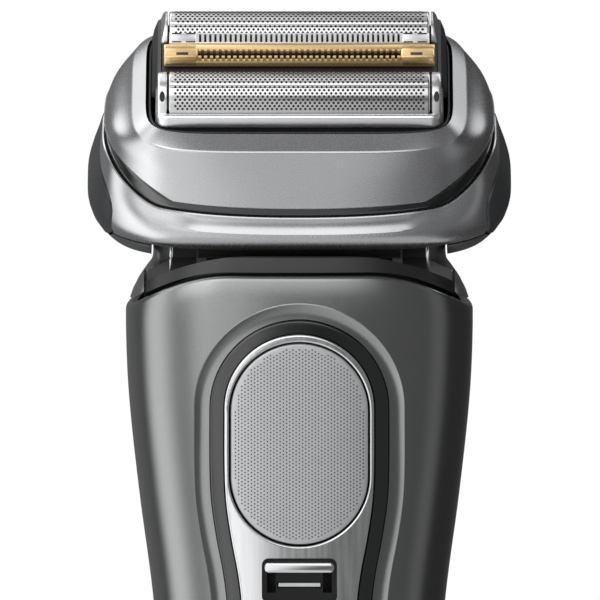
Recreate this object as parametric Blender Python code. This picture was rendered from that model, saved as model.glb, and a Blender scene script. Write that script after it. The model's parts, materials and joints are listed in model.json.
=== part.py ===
"""A foil shaver: a handle with a tilting head, a lift-off foil cassette and a rear pop-up trimmer.

Sizes are written in millimetres and turned into metres when a mesh is made. +Z is up, the front of
the shaver faces -Y, and the origin is the centre of the flat foot it stands on.
"""

import math

import bmesh
import bpy
from mathutils import Vector

MM = 0.001
GAP = 0.3  # clearance between pieces that touch

# Handle: height, half width, depth to the front and depth to the back.
HANDLE_POWER = 2.7
HANDLE_STATIONS = (
    (0.0, 18.6, 11.6, 11.8),
    (1.2, 19.8, 12.7, 12.9),
    (4.0, 20.3, 13.3, 13.5),
    (30.0, 20.8, 14.3, 14.3),
    (50.0, 21.7, 15.2, 15.0),
    (68.0, 23.2, 16.0, 15.6),
    (84.0, 25.5, 16.6, 16.2),
    (99.0, 27.3, 17.0, 16.6),
    (110.0, 27.9, 17.2, 16.8),
    (116.0, 27.5, 17.0, 16.6),
    (124.0, 25.6, 16.2, 15.8),
)
WALL = 1.8
BASE_HEIGHT = 4.0
INLET_Y = 5.6
SPLIT_Y = 6.0  # the front shell ends here and the rear cover begins
SHELL_TOP, CAP_TOP = 120.0, 122.8  # top edges of the shell and of the black cap, at the front
SHOULDER_FLAT, SHOULDER_DROP = 11.0, 0.0215  # both edges are level this far out, then fall away
CAP_END_X = 24.2  # the cap's band stops here and the arms take over
CAP_PLUG_BOTTOM = 109.6

# Front trim: a plate with a round top, a waist and a round bottom.
PLATE_ARC_Z, PLATE_BOTTOM_Z = 98.8, 12.5
PLATE_STATIONS = (
    (20.0, 8.3),
    (55.0, 8.7),
    (67.8, 9.15),
    (72.8, 9.75),
    (77.8, 10.7),
    (84.0, 11.6),
    (89.7, 11.85),
    (98.8, 11.85),
)
BEZEL_WIDTH = 2.15
BUTTON_Z, BUTTON_R, BUTTON_STRAIGHT = 93.2, 10.8, 5.1
LOCK_Z, LOCK_HALF_W, LOCK_HALF_H, LOCK_CORNER = 71.6, 5.9, 3.55, 1.1
LOCK_TRAVEL = 3.2
RELEASE_Z = 79.0
DISPLAY_Z, DISPLAY_HALF_W, DISPLAY_HALF_H = 33.0, 5.6, 11.0

# Head: pivot, lean and the rings of its housings, measured from the rim of the cassette opening.
PIVOT_Z = 137.5
HEAD_LEAN = math.radians(29.0)
RIM_ABOVE_PIVOT = 14.0
HEAD_POWER = 3.2
OPENING = (23.7, 14.4, 14.4)
CHAMFER = (26.5, 17.2, 17.2)
UPPER_EDGE = (30.8, 19.2, 18.8)
LOWER_TOP = (31.2, 18.9, 18.6)
LOWER_LEDGE = (32.2, 20.5, 19.6)
LOWER_BELT = (33.4, 20.0, 19.3)
LOWER_BELT_Z = -17.0
UNDER_SEAM_Z = -20.5
UNDER_RINGS = (  # height from the rim, half width, front depth and back depth, then squareness
    (UNDER_SEAM_Z, 33.0, 17.3, 17.3, 3.6),
    (-24.0, 31.2, 13.0, 13.6, 4.5),
    (-26.5, 28.0, 8.5, 9.6, 4.5),
    (-28.0, 23.5, 4.0, 5.5, 4.0),
)
# Each seam: height across the front, height at the sides, where it starts to climb, where it ends, and
# how late it climbs.
UPPER_SEAM = (-10.4, -5.0, 21.0, 30.5, 1.0)
LOWER_SEAM = (-12.0, -6.2, 24.0, 31.2, 2.0)
LEDGE_DROP = 2.6
SADDLE_R = 21.4
PIN_R, PIN_BORE_R = 1.5, 1.78
EAR_R = 3.0
TILT_RANGE = 18.0  # degrees each way
POST_X = (16.3, 20.0)
ARM_X = (20.4, 23.2)
BOSS_INNER_X = (13.4, 15.6)
BOSS_OUTER_X = (23.9, 26.0)
PAD_Z, PAD_HALF_Y, PAD_HALF_Z = -17.0, 13.6, 6.4

# Cassette, on the same rim level.
FOIL_Y, FOIL_R, FOIL_Z, FOIL_HALF_L = 8.6, 3.8, 2.8, 19.7
FOIL_SHEET = 0.3
CASSETTE_HALF = (22.6, 13.3)
CASSETTE_TOP, TRIM_BOTTOM, CASSETTE_BOTTOM = 2.1, -0.1, -8.0
CUTTER_R, CUTTER_HALF_L, CUTTER_PITCH = 3.05, 17.8, 3.0
PIN_TOP_Z, DRIVE_PIN_R = -0.4, 0.9

STEEL = ("steel", (0.62, 0.63, 0.65), 0.25, 1.0)
SATIN = ("satin_metal", (0.52, 0.53, 0.55), 0.32, 0.9)
GUNMETAL = ("gunmetal", (0.14, 0.15, 0.15), 0.28, 0.8)
PLATE_METAL = ("plate_metal", (0.72, 0.73, 0.75), 0.22, 1.0)
GOLD = ("gold_trim", (0.83, 0.58, 0.27), 0.25, 1.0)
BLACK_GLOSS = ("black_gloss", (0.015, 0.016, 0.018), 0.12, 0.0)
BLACK_MATT = ("black_matt", (0.03, 0.03, 0.032), 0.55, 0.0)
RUBBER = ("rubber_grip", (0.025, 0.025, 0.027), 0.8, 0.0)
COPPER = ("copper", (0.72, 0.36, 0.18), 0.35, 1.0)
BOARD = ("board_green", (0.03, 0.2, 0.09), 0.5, 0.0)
CELL = ("cell_wrap", (0.1, 0.22, 0.42), 0.45, 0.0)
MARK = ("mark_white", (0.85, 0.85, 0.85), 0.4, 0.0)
GLASS = ("display_glass", (0.01, 0.01, 0.012), 0.05, 0.0)


# ---- materials, objects and modifiers ----

def clear_scene():
    for obj in list(bpy.data.objects):
        bpy.data.objects.remove(obj)


def material(spec):
    name, colour, roughness, metallic = spec
    found = bpy.data.materials.get(name)
    if found:
        return found
    made = bpy.data.materials.new(name)
    made.use_nodes = True
    shader = made.node_tree.nodes["Principled BSDF"]
    shader.inputs["Base Color"].default_value = (*colour, 1.0)
    shader.inputs["Roughness"].default_value = roughness
    shader.inputs["Metallic"].default_value = metallic
    return made


def empty(name, location, parent=None, lean=0.0):
    made = bpy.data.objects.new(name, None)
    made.location = Vector(location) * MM
    made.rotation_euler = (lean, 0.0, 0.0)
    made.parent = parent
    bpy.context.scene.collection.objects.link(made)
    return made


def add(name, bm, spec, parent=None):
    """The bmesh as a named object with its material, its faces pointing outwards."""
    bmesh.ops.recalc_face_normals(bm, faces=bm.faces)
    mesh = bpy.data.meshes.new(name)
    bm.to_mesh(mesh)
    bm.free()
    mesh.materials.append(material(spec))
    mesh.shade_smooth()
    mesh.set_sharp_from_angle(angle=math.radians(35))
    obj = bpy.data.objects.new(name, mesh)
    obj.parent = parent
    bpy.context.scene.collection.objects.link(obj)
    return obj


def tool(name, bm, parent=None):
    """A hidden solid that other pieces are cut or joined with."""
    obj = add(name + "_tool", bm, BLACK_MATT, parent)
    obj.hide_render = True
    obj.display_type = "WIRE"
    return obj


def boolean(obj, other, operation):
    modifier = obj.modifiers.new(operation.lower(), "BOOLEAN")
    modifier.operation = operation
    modifier.object = other
    modifier.solver = "EXACT"


def cut(obj, *others):
    for other in others:
        boolean(obj, other, "DIFFERENCE")


def join(obj, *others):
    for other in others:
        boolean(obj, other, "UNION")


def keep(obj, other):
    boolean(obj, other, "INTERSECT")


# ---- shapes, each a bmesh ----

def loft(rings, closed=False):
    """A skin over rings of equal length, with its ends capped, or closed on itself as a tube."""
    bm = bmesh.new()
    rows = [[bm.verts.new(Vector(p) * MM) for p in ring] for ring in rings]
    pairs = list(zip(rows, rows[1:]))
    if closed:
        pairs.append((rows[-1], rows[0]))
    for low, high in pairs:
        for i in range(len(low)):
            j = (i + 1) % len(low)
            bm.faces.new((low[i], low[j], high[j], high[i]))
    if not closed:
        bm.faces.new(rows[0])
        bm.faces.new(rows[-1])
    return bm


def box(low, high):
    (x0, y0, z0), (x1, y1, z1) = low, high
    corners = ((x0, y0), (x1, y0), (x1, y1), (x0, y1))
    return loft([[(x, y, z) for x, y in corners] for z in (z0, z1)])


def prism(outline, axis, low, high):
    """A flat outline pushed along an axis. Along X the outline is (y, z), along Y (x, z), along Z (x, y)."""
    place = {
        "X": lambda a, b, t: (t, a, b),
        "Y": lambda a, b, t: (a, t, b),
        "Z": lambda a, b, t: (a, b, t),
    }[axis]
    return loft([[place(a, b, t) for a, b in outline] for t in (low, high)])


def circle(radius, centre=(0.0, 0.0), sides=16):
    turn = 2 * math.pi / sides
    return [
        (centre[0] + radius * math.cos(i * turn), centre[1] + radius * math.sin(i * turn))
        for i in range(sides)
    ]


def rounded_box_outline(half_w, half_h, corner, centre=(0.0, 0.0), steps=4):
    outline = []
    for quarter in range(4):
        sx = 1 if quarter in (0, 3) else -1
        sy = 1 if quarter in (0, 1) else -1
        for i in range(steps + 1):
            angle = math.radians(90 * quarter + 90 * i / steps)
            outline.append((
                centre[0] + sx * (half_w - corner) + corner * math.cos(angle),
                centre[1] + sy * (half_h - corner) + corner * math.sin(angle),
            ))
    return outline


def power_ring(size, z_of, power=HEAD_POWER, count=36):
    """A closed ring between a circle and a rectangle. size is half width, front depth and back depth."""
    half_w, front, back = size
    ring = []
    for i in range(count):
        angle = 2 * math.pi * (i + 0.5) / count
        c, s = math.cos(angle), math.sin(angle)
        x = math.copysign(abs(c) ** (2 / power), c) * half_w
        y = math.copysign(abs(s) ** (2 / power), s) * (back if s > 0 else front)
        ring.append((x, y, z_of(x) if callable(z_of) else z_of))
    return ring


def station_at(stations, at):
    """The values at a height, on a smooth curve through the stations."""
    at = min(max(at, stations[0][0]), stations[-1][0])
    k = max(i for i in range(len(stations) - 1) if stations[i][0] <= at)
    z0, z1 = stations[k][0], stations[k + 1][0]
    t = (at - z0) / (z1 - z0)

    def slope(i, j):
        a, b = max(i - 1, 0), min(i + 1, len(stations) - 1)
        return (stations[b][j] - stations[a][j]) / (stations[b][0] - stations[a][0])

    values = []
    for j in range(1, len(stations[0])):
        p0, p1 = stations[k][j], stations[k + 1][j]
        m0, m1 = slope(k, j) * (z1 - z0), slope(k + 1, j) * (z1 - z0)
        values.append(
            (2 * t**3 - 3 * t**2 + 1) * p0
            + (t**3 - 2 * t**2 + t) * m0
            + (3 * t**2 - 2 * t**3) * p1
            + (t**3 - t**2) * m1
        )
    return values


# ---- handle ----

def handle_ring(z_of, inset=0.0, count=40):
    """A ring of the handle's outside, moved inwards by inset. z_of is a height, or a rule of x."""
    ring = []
    for i in range(count):
        angle = 2 * math.pi * (i + 0.5) / count
        c, s = math.cos(angle), math.sin(angle)
        shape_c = math.copysign(abs(c) ** (2 / HANDLE_POWER), c)
        shape_s = math.copysign(abs(s) ** (2 / HANDLE_POWER), s)
        z = z_of
        if callable(z_of):
            z = z_of(shape_c * station_at(HANDLE_STATIONS, z_of(0))[0])
        half_w, front, back = (v - inset for v in station_at(HANDLE_STATIONS, z))
        ring.append((shape_c * half_w, shape_s * (back if s > 0 else front), z))
    return ring


def skin_y(x, z, inset=0.0):
    """The front surface of the handle at x and z."""
    half_w, front, _ = station_at(HANDLE_STATIONS, z)
    share = max(0.0, 1 - abs(x / half_w) ** HANDLE_POWER)
    return -(front - inset) * share ** (1 / HANDLE_POWER)


def shell_edge(x):
    return SHELL_TOP - SHOULDER_DROP * max(0.0, abs(x) - SHOULDER_FLAT) ** 2


def cap_edge(x):
    return shell_edge(x) + CAP_TOP - SHELL_TOP


def handle_tube(top):
    """The hollow handle from the base to a top edge."""
    heights = [BASE_HEIGHT + GAP, 17, 30, 43, 56, 68, 76, 84, 92, 100, 107, 113]
    outer = [handle_ring(z) for z in heights] + [handle_ring(top)]
    inner = [handle_ring(z, WALL) for z in heights] + [handle_ring(top, WALL)]
    return loft(outer + inner[::-1], closed=True)


def plate_half_width(z):
    return station_at(PLATE_STATIONS, z)[0]


def plate_outline(grow=0.0):
    """The trim plate's outline in x and z, grown outwards."""
    top_r = PLATE_STATIONS[-1][1] + grow
    low_z, low_r = PLATE_STATIONS[0][0], PLATE_STATIONS[0][1] + grow
    low_h = low_z - PLATE_BOTTOM_Z + grow
    arc = [math.radians(a) for a in range(0, 181, 15)]
    outline = [(top_r * math.cos(a), PLATE_ARC_Z + top_r * math.sin(a)) for a in arc]
    side = [90, 84, 79, 74, 69, 62, 50, 35]
    outline += [(-plate_half_width(z) - grow, z) for z in side]
    outline += [(-low_r * math.cos(a), low_z - low_h * math.sin(a)) for a in arc]
    outline += [(plate_half_width(z) + grow, z) for z in side[::-1]]
    return outline


def stadium(radius, straight, centre_z, steps=10):
    """An upright oval with straight sides."""
    outline = []
    for side in (1, -1):
        for i in range(steps + 1):
            angle = math.pi * i / steps
            outline.append((
                side * radius * math.cos(angle),
                centre_z + side * (straight + radius * math.sin(angle)),
            ))
    return outline


def skin_slab(depth_out, depth_in, half_w=16.0):
    """A slab that follows the handle's front between two depths below its surface."""
    columns = [half_w * (i / 4 - 1) for i in range(9)]
    rows = [8, 20, 34, 48, 60, 68, 74, 80, 87, 94, 101, 108, 114]
    bm = bmesh.new()
    faces = []
    for depth in (depth_out, depth_in):
        faces.append([
            [bm.verts.new(Vector((x, skin_y(x, z) + depth, z)) * MM) for x in columns]
            for z in rows
        ])
    outer, inner = faces
    for grid in faces:
        for r in range(len(rows) - 1):
            for c in range(len(columns) - 1):
                bm.faces.new((grid[r][c], grid[r][c + 1], grid[r + 1][c + 1], grid[r + 1][c]))

    def border(grid):
        right = [row[-1] for row in grid[1:-1]]
        left = [row[0] for row in grid[1:-1]]
        return grid[0] + right + grid[-1][::-1] + left[::-1]

    rim_out, rim_in = border(outer), border(inner)
    for i in range(len(rim_out)):
        j = (i + 1) % len(rim_out)
        bm.faces.new((rim_out[i], rim_out[j], rim_in[j], rim_in[i]))
    return bm


def build_handle_shells():
    front = add("front_shell", handle_tube(shell_edge), GUNMETAL)
    keep(front, tool("front_half", box((-40, -40, 0), (40, SPLIT_Y, 130))))
    cut(front, tool("bezel_opening", prism(plate_outline(BEZEL_WIDTH + GAP), "Y", -30, -5)))

    rear = add("rear_cover", handle_tube(shell_edge), RUBBER)
    keep(rear, tool("rear_half", box((-40, SPLIT_Y + GAP, 0), (40, 40, 130))))
    cut(
        rear,
        tool("trimmer_window", box((-14.2, 8, 86), (14.2, 30, 125))),
        tool("release_window", prism(circle(3.4, (0, RELEASE_Z), 20), "Y", 8, 30)),
    )
    for side in (-1, 1):
        cut(rear, tool(f"contact_hole_{side}", prism(circle(1.6, (side * 5, 10), 12), "Y", 8, 30)))


def build_base():
    """The cap that closes the handle's foot, with the charging inlet in it."""
    rings = [handle_ring(0.0), handle_ring(1.2), handle_ring(BASE_HEIGHT)]
    rings += [handle_ring(BASE_HEIGHT, WALL + GAP)]
    plug = [(x, y, 6.5) for x, y, _ in handle_ring(BASE_HEIGHT, WALL + GAP)]
    base = add("base_cap", loft(rings + [plug]), BLACK_MATT)
    cut(base, tool("inlet_seat", prism(rounded_box_outline(6.3, 3.6, 2.0, (0, INLET_Y)), "Z", -1, 8)))

    block_outline = rounded_box_outline(6.0, 3.3, 1.8, (0, INLET_Y))
    block = add("inlet_housing", prism(block_outline, "Z", 0.4, 10.5), BLACK_GLOSS)
    cut(block, tool("inlet_socket", prism(rounded_box_outline(4.9, 2.5, 1.2, (0, INLET_Y)), "Z", -1, 8.6)))
    for side in (-1, 1):
        pin_base = prism(circle(0.75, (side * 2.4, INLET_Y), 12), "Z", 4.9, 12.5)
        add("inlet_pin_" + side_name(side), pin_base, STEEL)
        cut(block, tool(f"inlet_pin_hole_{side}", prism(circle(1.05, (side * 2.4, INLET_Y), 12), "Z", 8, 14)))
        contact = prism(circle(1.25, (side * 5, 10), 16), "Y", 9.5, 13.35)
        add("dock_contact_" + side_name(side), contact, GOLD)
    seal_z = 4.8
    seal = loft([
        [(x, y, z) for x, y, _ in handle_ring(6.0, inset)]
        for inset, z in ((2.5, seal_z + 2.1), (2.5, seal_z + 3.3), (4.2, seal_z + 3.3), (4.2, seal_z + 2.1))
    ], closed=True)
    add("base_gasket", seal, RUBBER)


def side_name(side):
    return "left" if side < 0 else "right"


def build_front_trim():
    bezel = add("front_bezel", skin_slab(0.15, 1.7), BLACK_GLOSS)
    keep(bezel, tool("bezel_outer", prism(plate_outline(BEZEL_WIDTH), "Y", -30, 0)))
    cut(bezel, tool("bezel_inner", prism(plate_outline(GAP), "Y", -30, 0)))

    button_hole = tool("button_hole", prism(stadium(BUTTON_R + GAP, BUTTON_STRAIGHT, BUTTON_Z), "Y", -30, 0))
    lock_outline = rounded_box_outline(LOCK_HALF_W, LOCK_HALF_H, LOCK_CORNER, (0, LOCK_Z))
    display_outline = rounded_box_outline(DISPLAY_HALF_W, DISPLAY_HALF_H, 2.4, (0, DISPLAY_Z))
    plate = add("front_plate", skin_slab(0.0, 1.5), PLATE_METAL)
    keep(plate, tool("plate_outer", prism(plate_outline(), "Y", -30, 0)))
    cut(
        plate,
        button_hole,
        tool("lock_hole", prism(lock_outline, "Y", -30, 0)),
        tool("display_hole", prism(display_outline, "Y", -30, 0)),
    )

    button = add("power_button", skin_slab(0.25, 2.1), PLATE_METAL)
    keep(button, tool("button_outer", prism(stadium(BUTTON_R, BUTTON_STRAIGHT, BUTTON_Z), "Y", -30, 0)))
    join(button, tool("button_stem", prism(circle(1.8, (0, BUTTON_Z), 14), "Y", -15.6, -13.3)))

    glass = add("display_window", skin_slab(0.1, 1.3), GLASS)
    keep(glass, tool("glass_outer", prism(
        rounded_box_outline(DISPLAY_HALF_W - GAP, DISPLAY_HALF_H - GAP, 2.1, (0, DISPLAY_Z)), "Y", -30, 0)))


def build_lock():
    """The head lock: a ridge that slides down over a marked black tray."""
    face = skin_y(0, LOCK_Z)
    inner = rounded_box_outline(LOCK_HALF_W - GAP, LOCK_HALF_H - GAP, LOCK_CORNER - 0.2, (0, LOCK_Z))
    tray = add("lock_tray", prism(inner, "Y", face + 1.0, face + 3.2), BLACK_GLOSS)
    mark_z = LOCK_Z - 0.75
    cut(tray, tool("mark_groove", box((-3.5, face, mark_z - 0.55), (3.5, face + 1.4, mark_z + 0.55))))
    add("lock_mark", box((-3.2, face + 0.85, mark_z - 0.25), (3.2, face + 1.1, mark_z + 0.25)), MARK)

    ridge_z = LOCK_Z + LOCK_HALF_H - 1.45
    ridge = rounded_box_outline(LOCK_HALF_W - 0.4, 0.82, 0.7, (0, ridge_z))
    slider = add("lock_slider", prism(ridge, "Y", face - 0.55, face + 0.5), PLATE_METAL)
    for side in (-1, 1):
        x = side * 4.4
        join(slider, tool(f"slider_leg_{side}", box(
            (x - 0.35, face + 0.3, ridge_z - 0.5), (x + 0.35, face + 4.5, ridge_z + 0.5))))
        cut(tray, tool(f"slider_slot_{side}", box(
            (x - 0.7, face, ridge_z - LOCK_TRAVEL - 0.9), (x + 0.7, face + 6, ridge_z + 0.9))))


def build_shoulder():
    """The black cap on top of the handle, hollowed as a saddle for the head to swing in."""
    plug = WALL + 0.4

    def seat(x):
        return shell_edge(x) + GAP

    low = handle_ring(CAP_PLUG_BOTTOM, plug)
    rings = [low, handle_ring(seat, plug), handle_ring(seat, 0.15), handle_ring(cap_edge, 0.3)]
    rings.append([(x * 0.4, y * 0.4, CAP_TOP - 1.0) for x, y, _ in rings[-1]])
    cap = add("shoulder_cap", loft(rings), BLACK_GLOSS)
    keep(cap, tool("cap_width", box((-CAP_END_X, -30, 90), (CAP_END_X, 30, 140))))
    cut(
        cap,
        tool("saddle", prism(circle(SADDLE_R, (0, PIVOT_Z), 64), "X", -40, 40)),
        tool("cable_way", box((-9, -5, 100), (9, 5, 125))),
        tool("trimmer_way", box((-14.2, 11.8, 100), (14.2, 30, 130))),
    )
    for side in (-1, 1):
        post = sorted((side * (POST_X[0] - 0.4), side * (POST_X[1] + 0.1)))
        cut(cap, tool(f"post_way_{side}", box((post[0], -5.9, 100), (post[1], 5.9, 130))))


def ear(half_base, x_range, z_low, taper_z):
    """An upright with a round eye at the head's pivot, wider where it meets the handle."""
    top = [(EAR_R * math.cos(a), PIVOT_Z + EAR_R * math.sin(a))
           for a in (math.radians(d) for d in range(-10, 191, 20))]
    left = [(-3.4, taper_z), (-half_base, taper_z - 5), (-half_base, z_low)]
    right = [(half_base, z_low), (half_base, taper_z - 5), (3.4, taper_z)]
    return prism(top + left + right, "X", *x_range)


def arm_cover(side):
    """The outer cover of an arm: it carries the handle's outline on up to the pivot."""
    stations = (  # height, outer x, half depth
        (112.0, 27.4, 12.5),
        (114.0, 27.1, 11.5),
        (115.3, 26.6, 10.4),
        (116.2, 26.3, 9.5),
        (117.2, 25.8, 8.2),
        (118.2, 25.3, 6.9),
        (119.1, 24.7, 5.7),
        (120.1, 24.0, 4.8),
        (121.3, ARM_X[1], 4.0),
        (124.0, ARM_X[1] - 0.1, 3.4),
        (PIVOT_Z, ARM_X[1] - 0.1, EAR_R),
        (PIVOT_Z + 2.1, ARM_X[1] - 0.1, EAR_R * 0.7),
        (PIVOT_Z + EAR_R - 0.05, ARM_X[1] - 0.1, 0.6),
    )
    rings = []
    for z, outer_x, half_y in stations:
        reach = outer_x - ARM_X[0]
        ring = [(side * ARM_X[0], -half_y, z)]
        for degrees in range(-75, 76, 15):
            angle = math.radians(degrees)
            y = half_y * math.sin(angle) / math.sin(math.radians(75)) * 0.98
            ring.append((side * (ARM_X[0] + reach * math.cos(angle) ** 0.45), y, z))
        ring.append((side * ARM_X[0], half_y, z))
        rings.append(ring)
    return loft(rings)


def shoulder_profile():
    """Everything in x and z that the arms stand on: the cap's top, a step, then the shell's edge."""
    inside = [18 + i for i in range(7)]
    outside = [25 + i for i in range(4)]
    top = [(x, cap_edge(x) + GAP) for x in inside] + [(CAP_END_X + GAP, cap_edge(CAP_END_X) + GAP)]
    edge = [(CAP_END_X + GAP, shell_edge(CAP_END_X) + GAP)] + [(x, shell_edge(x) + GAP) for x in outside]
    return top + edge + [(28, 100), (18, 100)]


def build_yoke():
    """The posts and arms that carry the head on two pivot pins."""
    base = add("yoke_base", box((-20.0, -5.5, 103.0), (20.0, 5.5, 106.7)), BLACK_MATT)
    cut(base, tool("yoke_cable_way", box((-8, -3, 100), (8, 3, 110))))
    for side in (-1, 1):
        name = side_name(side)
        bore_x = sorted((side * 10, side * 30))
        bore = tool("pivot_bore_" + name, prism(circle(PIN_BORE_R, (0, PIVOT_Z), 20), "X", *bore_x))
        post = add("yoke_post_" + name, ear(5.5, sorted(side * x for x in POST_X), 107.0, 121.5), BLACK_MATT)
        cut(post, bore)
        arm = add("arm_cover_" + name, arm_cover(side), SATIN)
        footing = [(side * x, z) for x, z in shoulder_profile()]
        cut(arm, bore, tool("footing_" + name, prism(footing, "Y", -30, 30)))
        pin = prism(circle(PIN_R, (0, PIVOT_Z), 16), "X", *sorted((side * 13.8, side * 25.7)))
        add("pivot_pin_" + name, pin, STEEL)


def build_electronics():
    cell_y = 3.0
    add("battery_cell", prism(circle(8.6, (0, cell_y), 28), "Z", 13.5, 78.5), CELL)
    add("battery_tab_top", box((-3, cell_y - 3, 78.8), (3, cell_y + 3, 79.1)), STEEL)
    add("battery_tab_bottom", box((-3, cell_y - 3, 12.9), (3, cell_y + 3, 13.2)), STEEL)
    board = add("circuit_board", box((-9.5, -8.4, 14.0), (9.5, -7.2, 101.0)), BOARD)
    cut(board, tool("board_notch", box((-3, -10, 98), (3, -5, 104))))
    add("tact_switch", box((-3.1, -12.2, BUTTON_Z - 3.1), (3.1, -8.7, BUTTON_Z + 3.1)), BLACK_MATT)
    add("display_module", box((-5.2, -12.0, 22.5), (5.2, -8.7, 43.5)), BLACK_MATT)
    add("lock_switch", box((-2.4, -11.0, 66.5), (2.4, -8.7, 75.5)), BLACK_MATT)

    chassis = add("chassis", box((-14.5, -6.8, 80.5), (14.5, 11.6, 101.5)), BLACK_MATT)
    cut(
        chassis,
        tool("chassis_hollow", box((-12.5, -4.8, 79), (12.5, 20, 99))),
        tool("chassis_wire_way", box((-8, -3, 90), (8, 3, 110))),
    )


def build_rear_trimmer():
    """A pop-up trimmer on the back: a carriage with a comb, a moving blade and a release button."""
    carriage_outline = [(-13.6, 87.0), (13.6, 87.0), (13.6, 113.0), (-13.6, 113.0)]
    carriage = add("trimmer_carriage", prism(carriage_outline, "Y", 12.2, 15.0), BLACK_MATT)
    for i in range(5):
        z = 91 + 2.6 * i
        join(carriage, tool(f"thumb_rib_{i}", box((-8, 14.5, z - 0.5), (8, 15.7, z + 0.5))))
    comb = add("trimmer_comb", box((-12.5, 13.7, 113.3), (12.5, 14.5, 118.3)), STEEL)
    blade = add("trimmer_blade", box((-11.4, 12.9, 113.3), (11.4, 13.4, 118.0)), STEEL)
    for k in range(-7, 8):
        x = 1.6 * k
        cut(comb, tool(f"comb_gap_{k}", box((x - 0.4, 12, 116.3), (x + 0.4, 16, 120))))
    for k in range(-9, 9):
        x = 1.2 * (k + 0.5)
        cut(blade, tool(f"blade_gap_{k}", box((x - 0.3, 12, 116.5), (x + 0.3, 16, 120))))
    release = add("trimmer_release", prism(circle(3.0, (0, RELEASE_Z), 20), "Y", 13.0, 16.3), SATIN)
    release.modifiers.new("edge", "BEVEL").width = 0.4 * MM


# ---- head, in its own leaning frame: z is 0 at the rim of the cassette opening ----

def seam(heights, x):
    """The height of a seam that runs level across the front and climbs round the corners."""
    front, side, start, end, late = heights
    t = min(max((abs(x) - start) / (end - start), 0.0), 1.0) ** late
    return front + (side - front) * t


def upper_seam(x):
    return seam(UPPER_SEAM, x)


def lower_seam(x):
    return seam(LOWER_SEAM, x)


def shrunk(size, by):
    return tuple(v - by for v in size)


def build_head_housings(head):
    def middle(x):
        return (upper_seam(x) - 1.35) * 0.5

    middle_size = (29.6, 18.5, 18.2)
    wall_bottom = -9.0
    add("upper_housing", loft([
        power_ring(OPENING, wall_bottom, 8.0),
        power_ring(OPENING, 0.0, 8.0),
        power_ring(CHAMFER, -1.35, 5.0),
        power_ring(middle_size, middle, 3.4),
        power_ring(UPPER_EDGE, upper_seam),
        power_ring(shrunk(UPPER_EDGE, 1.2), upper_seam),
        power_ring((25.4, 16.1, 16.1), wall_bottom, 4.6),
    ], closed=True), SATIN, head)

    def band_top(x):
        return upper_seam(x) - GAP

    def band_bottom(x):
        return lower_seam(x) + GAP

    band_size = (30.5, 18.6, 18.3)
    add("accent_band", loft([
        power_ring(band_size, band_bottom),
        power_ring(band_size, band_top),
        power_ring(shrunk(band_size, 1.1), band_top),
        power_ring(shrunk(band_size, 1.1), band_bottom),
    ], closed=True), BLACK_GLOSS, head)

    lower = add("lower_housing", loft(lower_rings(0.0) + lower_rings(1.6)[::-1], closed=True), SATIN, head)
    under = add("underside_cover", loft(under_rings(0.0)[::-1] + under_rings(1.6)), SATIN, head)
    for side in (-1, 1):
        for name, xs, foot in (("inner", BOSS_INNER_X, -27.2), ("outer", BOSS_OUTER_X, -26.3)):
            outline = [(-4, foot), (4, foot), (4, -RIM_ABOVE_PIVOT), (2.4, 3 - RIM_ABOVE_PIVOT),
                       (-2.4, 3 - RIM_ABOVE_PIVOT), (-4, -RIM_ABOVE_PIVOT)]
            boss = prism(outline, "X", *sorted(side * x for x in xs))
            join(under, tool(f"boss_{name}_{side}", boss, head))
        bore = prism(circle(PIN_BORE_R, (0, -RIM_ABOVE_PIVOT), 20), "X", *sorted((side * 10, side * 30)))
        cut(under, tool(f"head_bore_{side}", bore, head))
        swing = prism(arm_swing(), "X", *sorted((side * (POST_X[0] - 0.4), side * (ARM_X[1] + 0.4))))
        cut(under, tool(f"arm_swing_{side}", swing, head))

        window = prism(pad_outline(GAP), "X", *sorted((side * 24, side * 40)))
        window_tool = tool(f"pad_window_{side}", window, head)
        cut(lower, window_tool)
        cut(under, window_tool)
        pad = add("release_button_" + side_name(side), loft(pad_skin(-0.1) + pad_skin(1.5)[::-1], closed=True),
                  BLACK_GLOSS, head)
        blank = prism(pad_outline(0.0), "X", *sorted((side * 24, side * 40)))
        keep(pad, tool(f"pad_blank_{side}", blank, head))

    add("head_deck", prism(rounded_box_outline(25, 14.6, 4), "Z", -10.9, -9.6), BLACK_MATT, head)


def lower_rings(inset):
    """The silver housing between the accent band and the underside cover, top to bottom."""
    def ledge(x):
        return lower_seam(x) - LEDGE_DROP

    return [
        power_ring(shrunk(LOWER_TOP, inset), lower_seam),
        power_ring(shrunk(LOWER_LEDGE, inset), ledge),
        power_ring(shrunk(LOWER_BELT, inset), LOWER_BELT_Z),
        power_ring(shrunk(UNDER_RINGS[0][1:4], inset), UNDER_SEAM_Z + GAP, 3.6),
    ]


def under_rings(inset):
    """The underside cover, rounded so that it clears the handle as the head swings, top to bottom."""
    rings = []
    for z, *size, power in UNDER_RINGS:
        if z == UNDER_SEAM_Z:
            rings.append(power_ring(shrunk(size, min(inset, 1.2) + 0.1), z, power))
        else:
            rings.append(power_ring(shrunk(size, inset), z + inset * 0.8, power))
    return rings


def arm_swing():
    """The slot in y and z that an arm sweeps through the underside as the head tilts."""
    pivot = -RIM_ABOVE_PIVOT
    lean = math.degrees(HEAD_LEAN)
    first, last = lean - TILT_RANGE - 17, lean + TILT_RANGE + 17
    arc = [first + (last - first) * i / 8 for i in range(9)]
    sweep = [(-30 * math.sin(math.radians(a)), pivot - 30 * math.cos(math.radians(a))) for a in arc]
    return [(4.6, pivot + 2)] + sweep + [(-4.6, pivot + 5)]


def pad_outline(grow):
    """The release button's outline in y and z, between an ellipse and a rectangle."""
    outline = []
    for i in range(28):
        angle = 2 * math.pi * i / 28
        c, s = math.cos(angle), math.sin(angle)
        outline.append((
            math.copysign(abs(c) ** 0.8, c) * (PAD_HALF_Y + grow),
            PAD_Z + math.copysign(abs(s) ** 0.8, s) * (PAD_HALF_Z + grow),
        ))
    return outline


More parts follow.
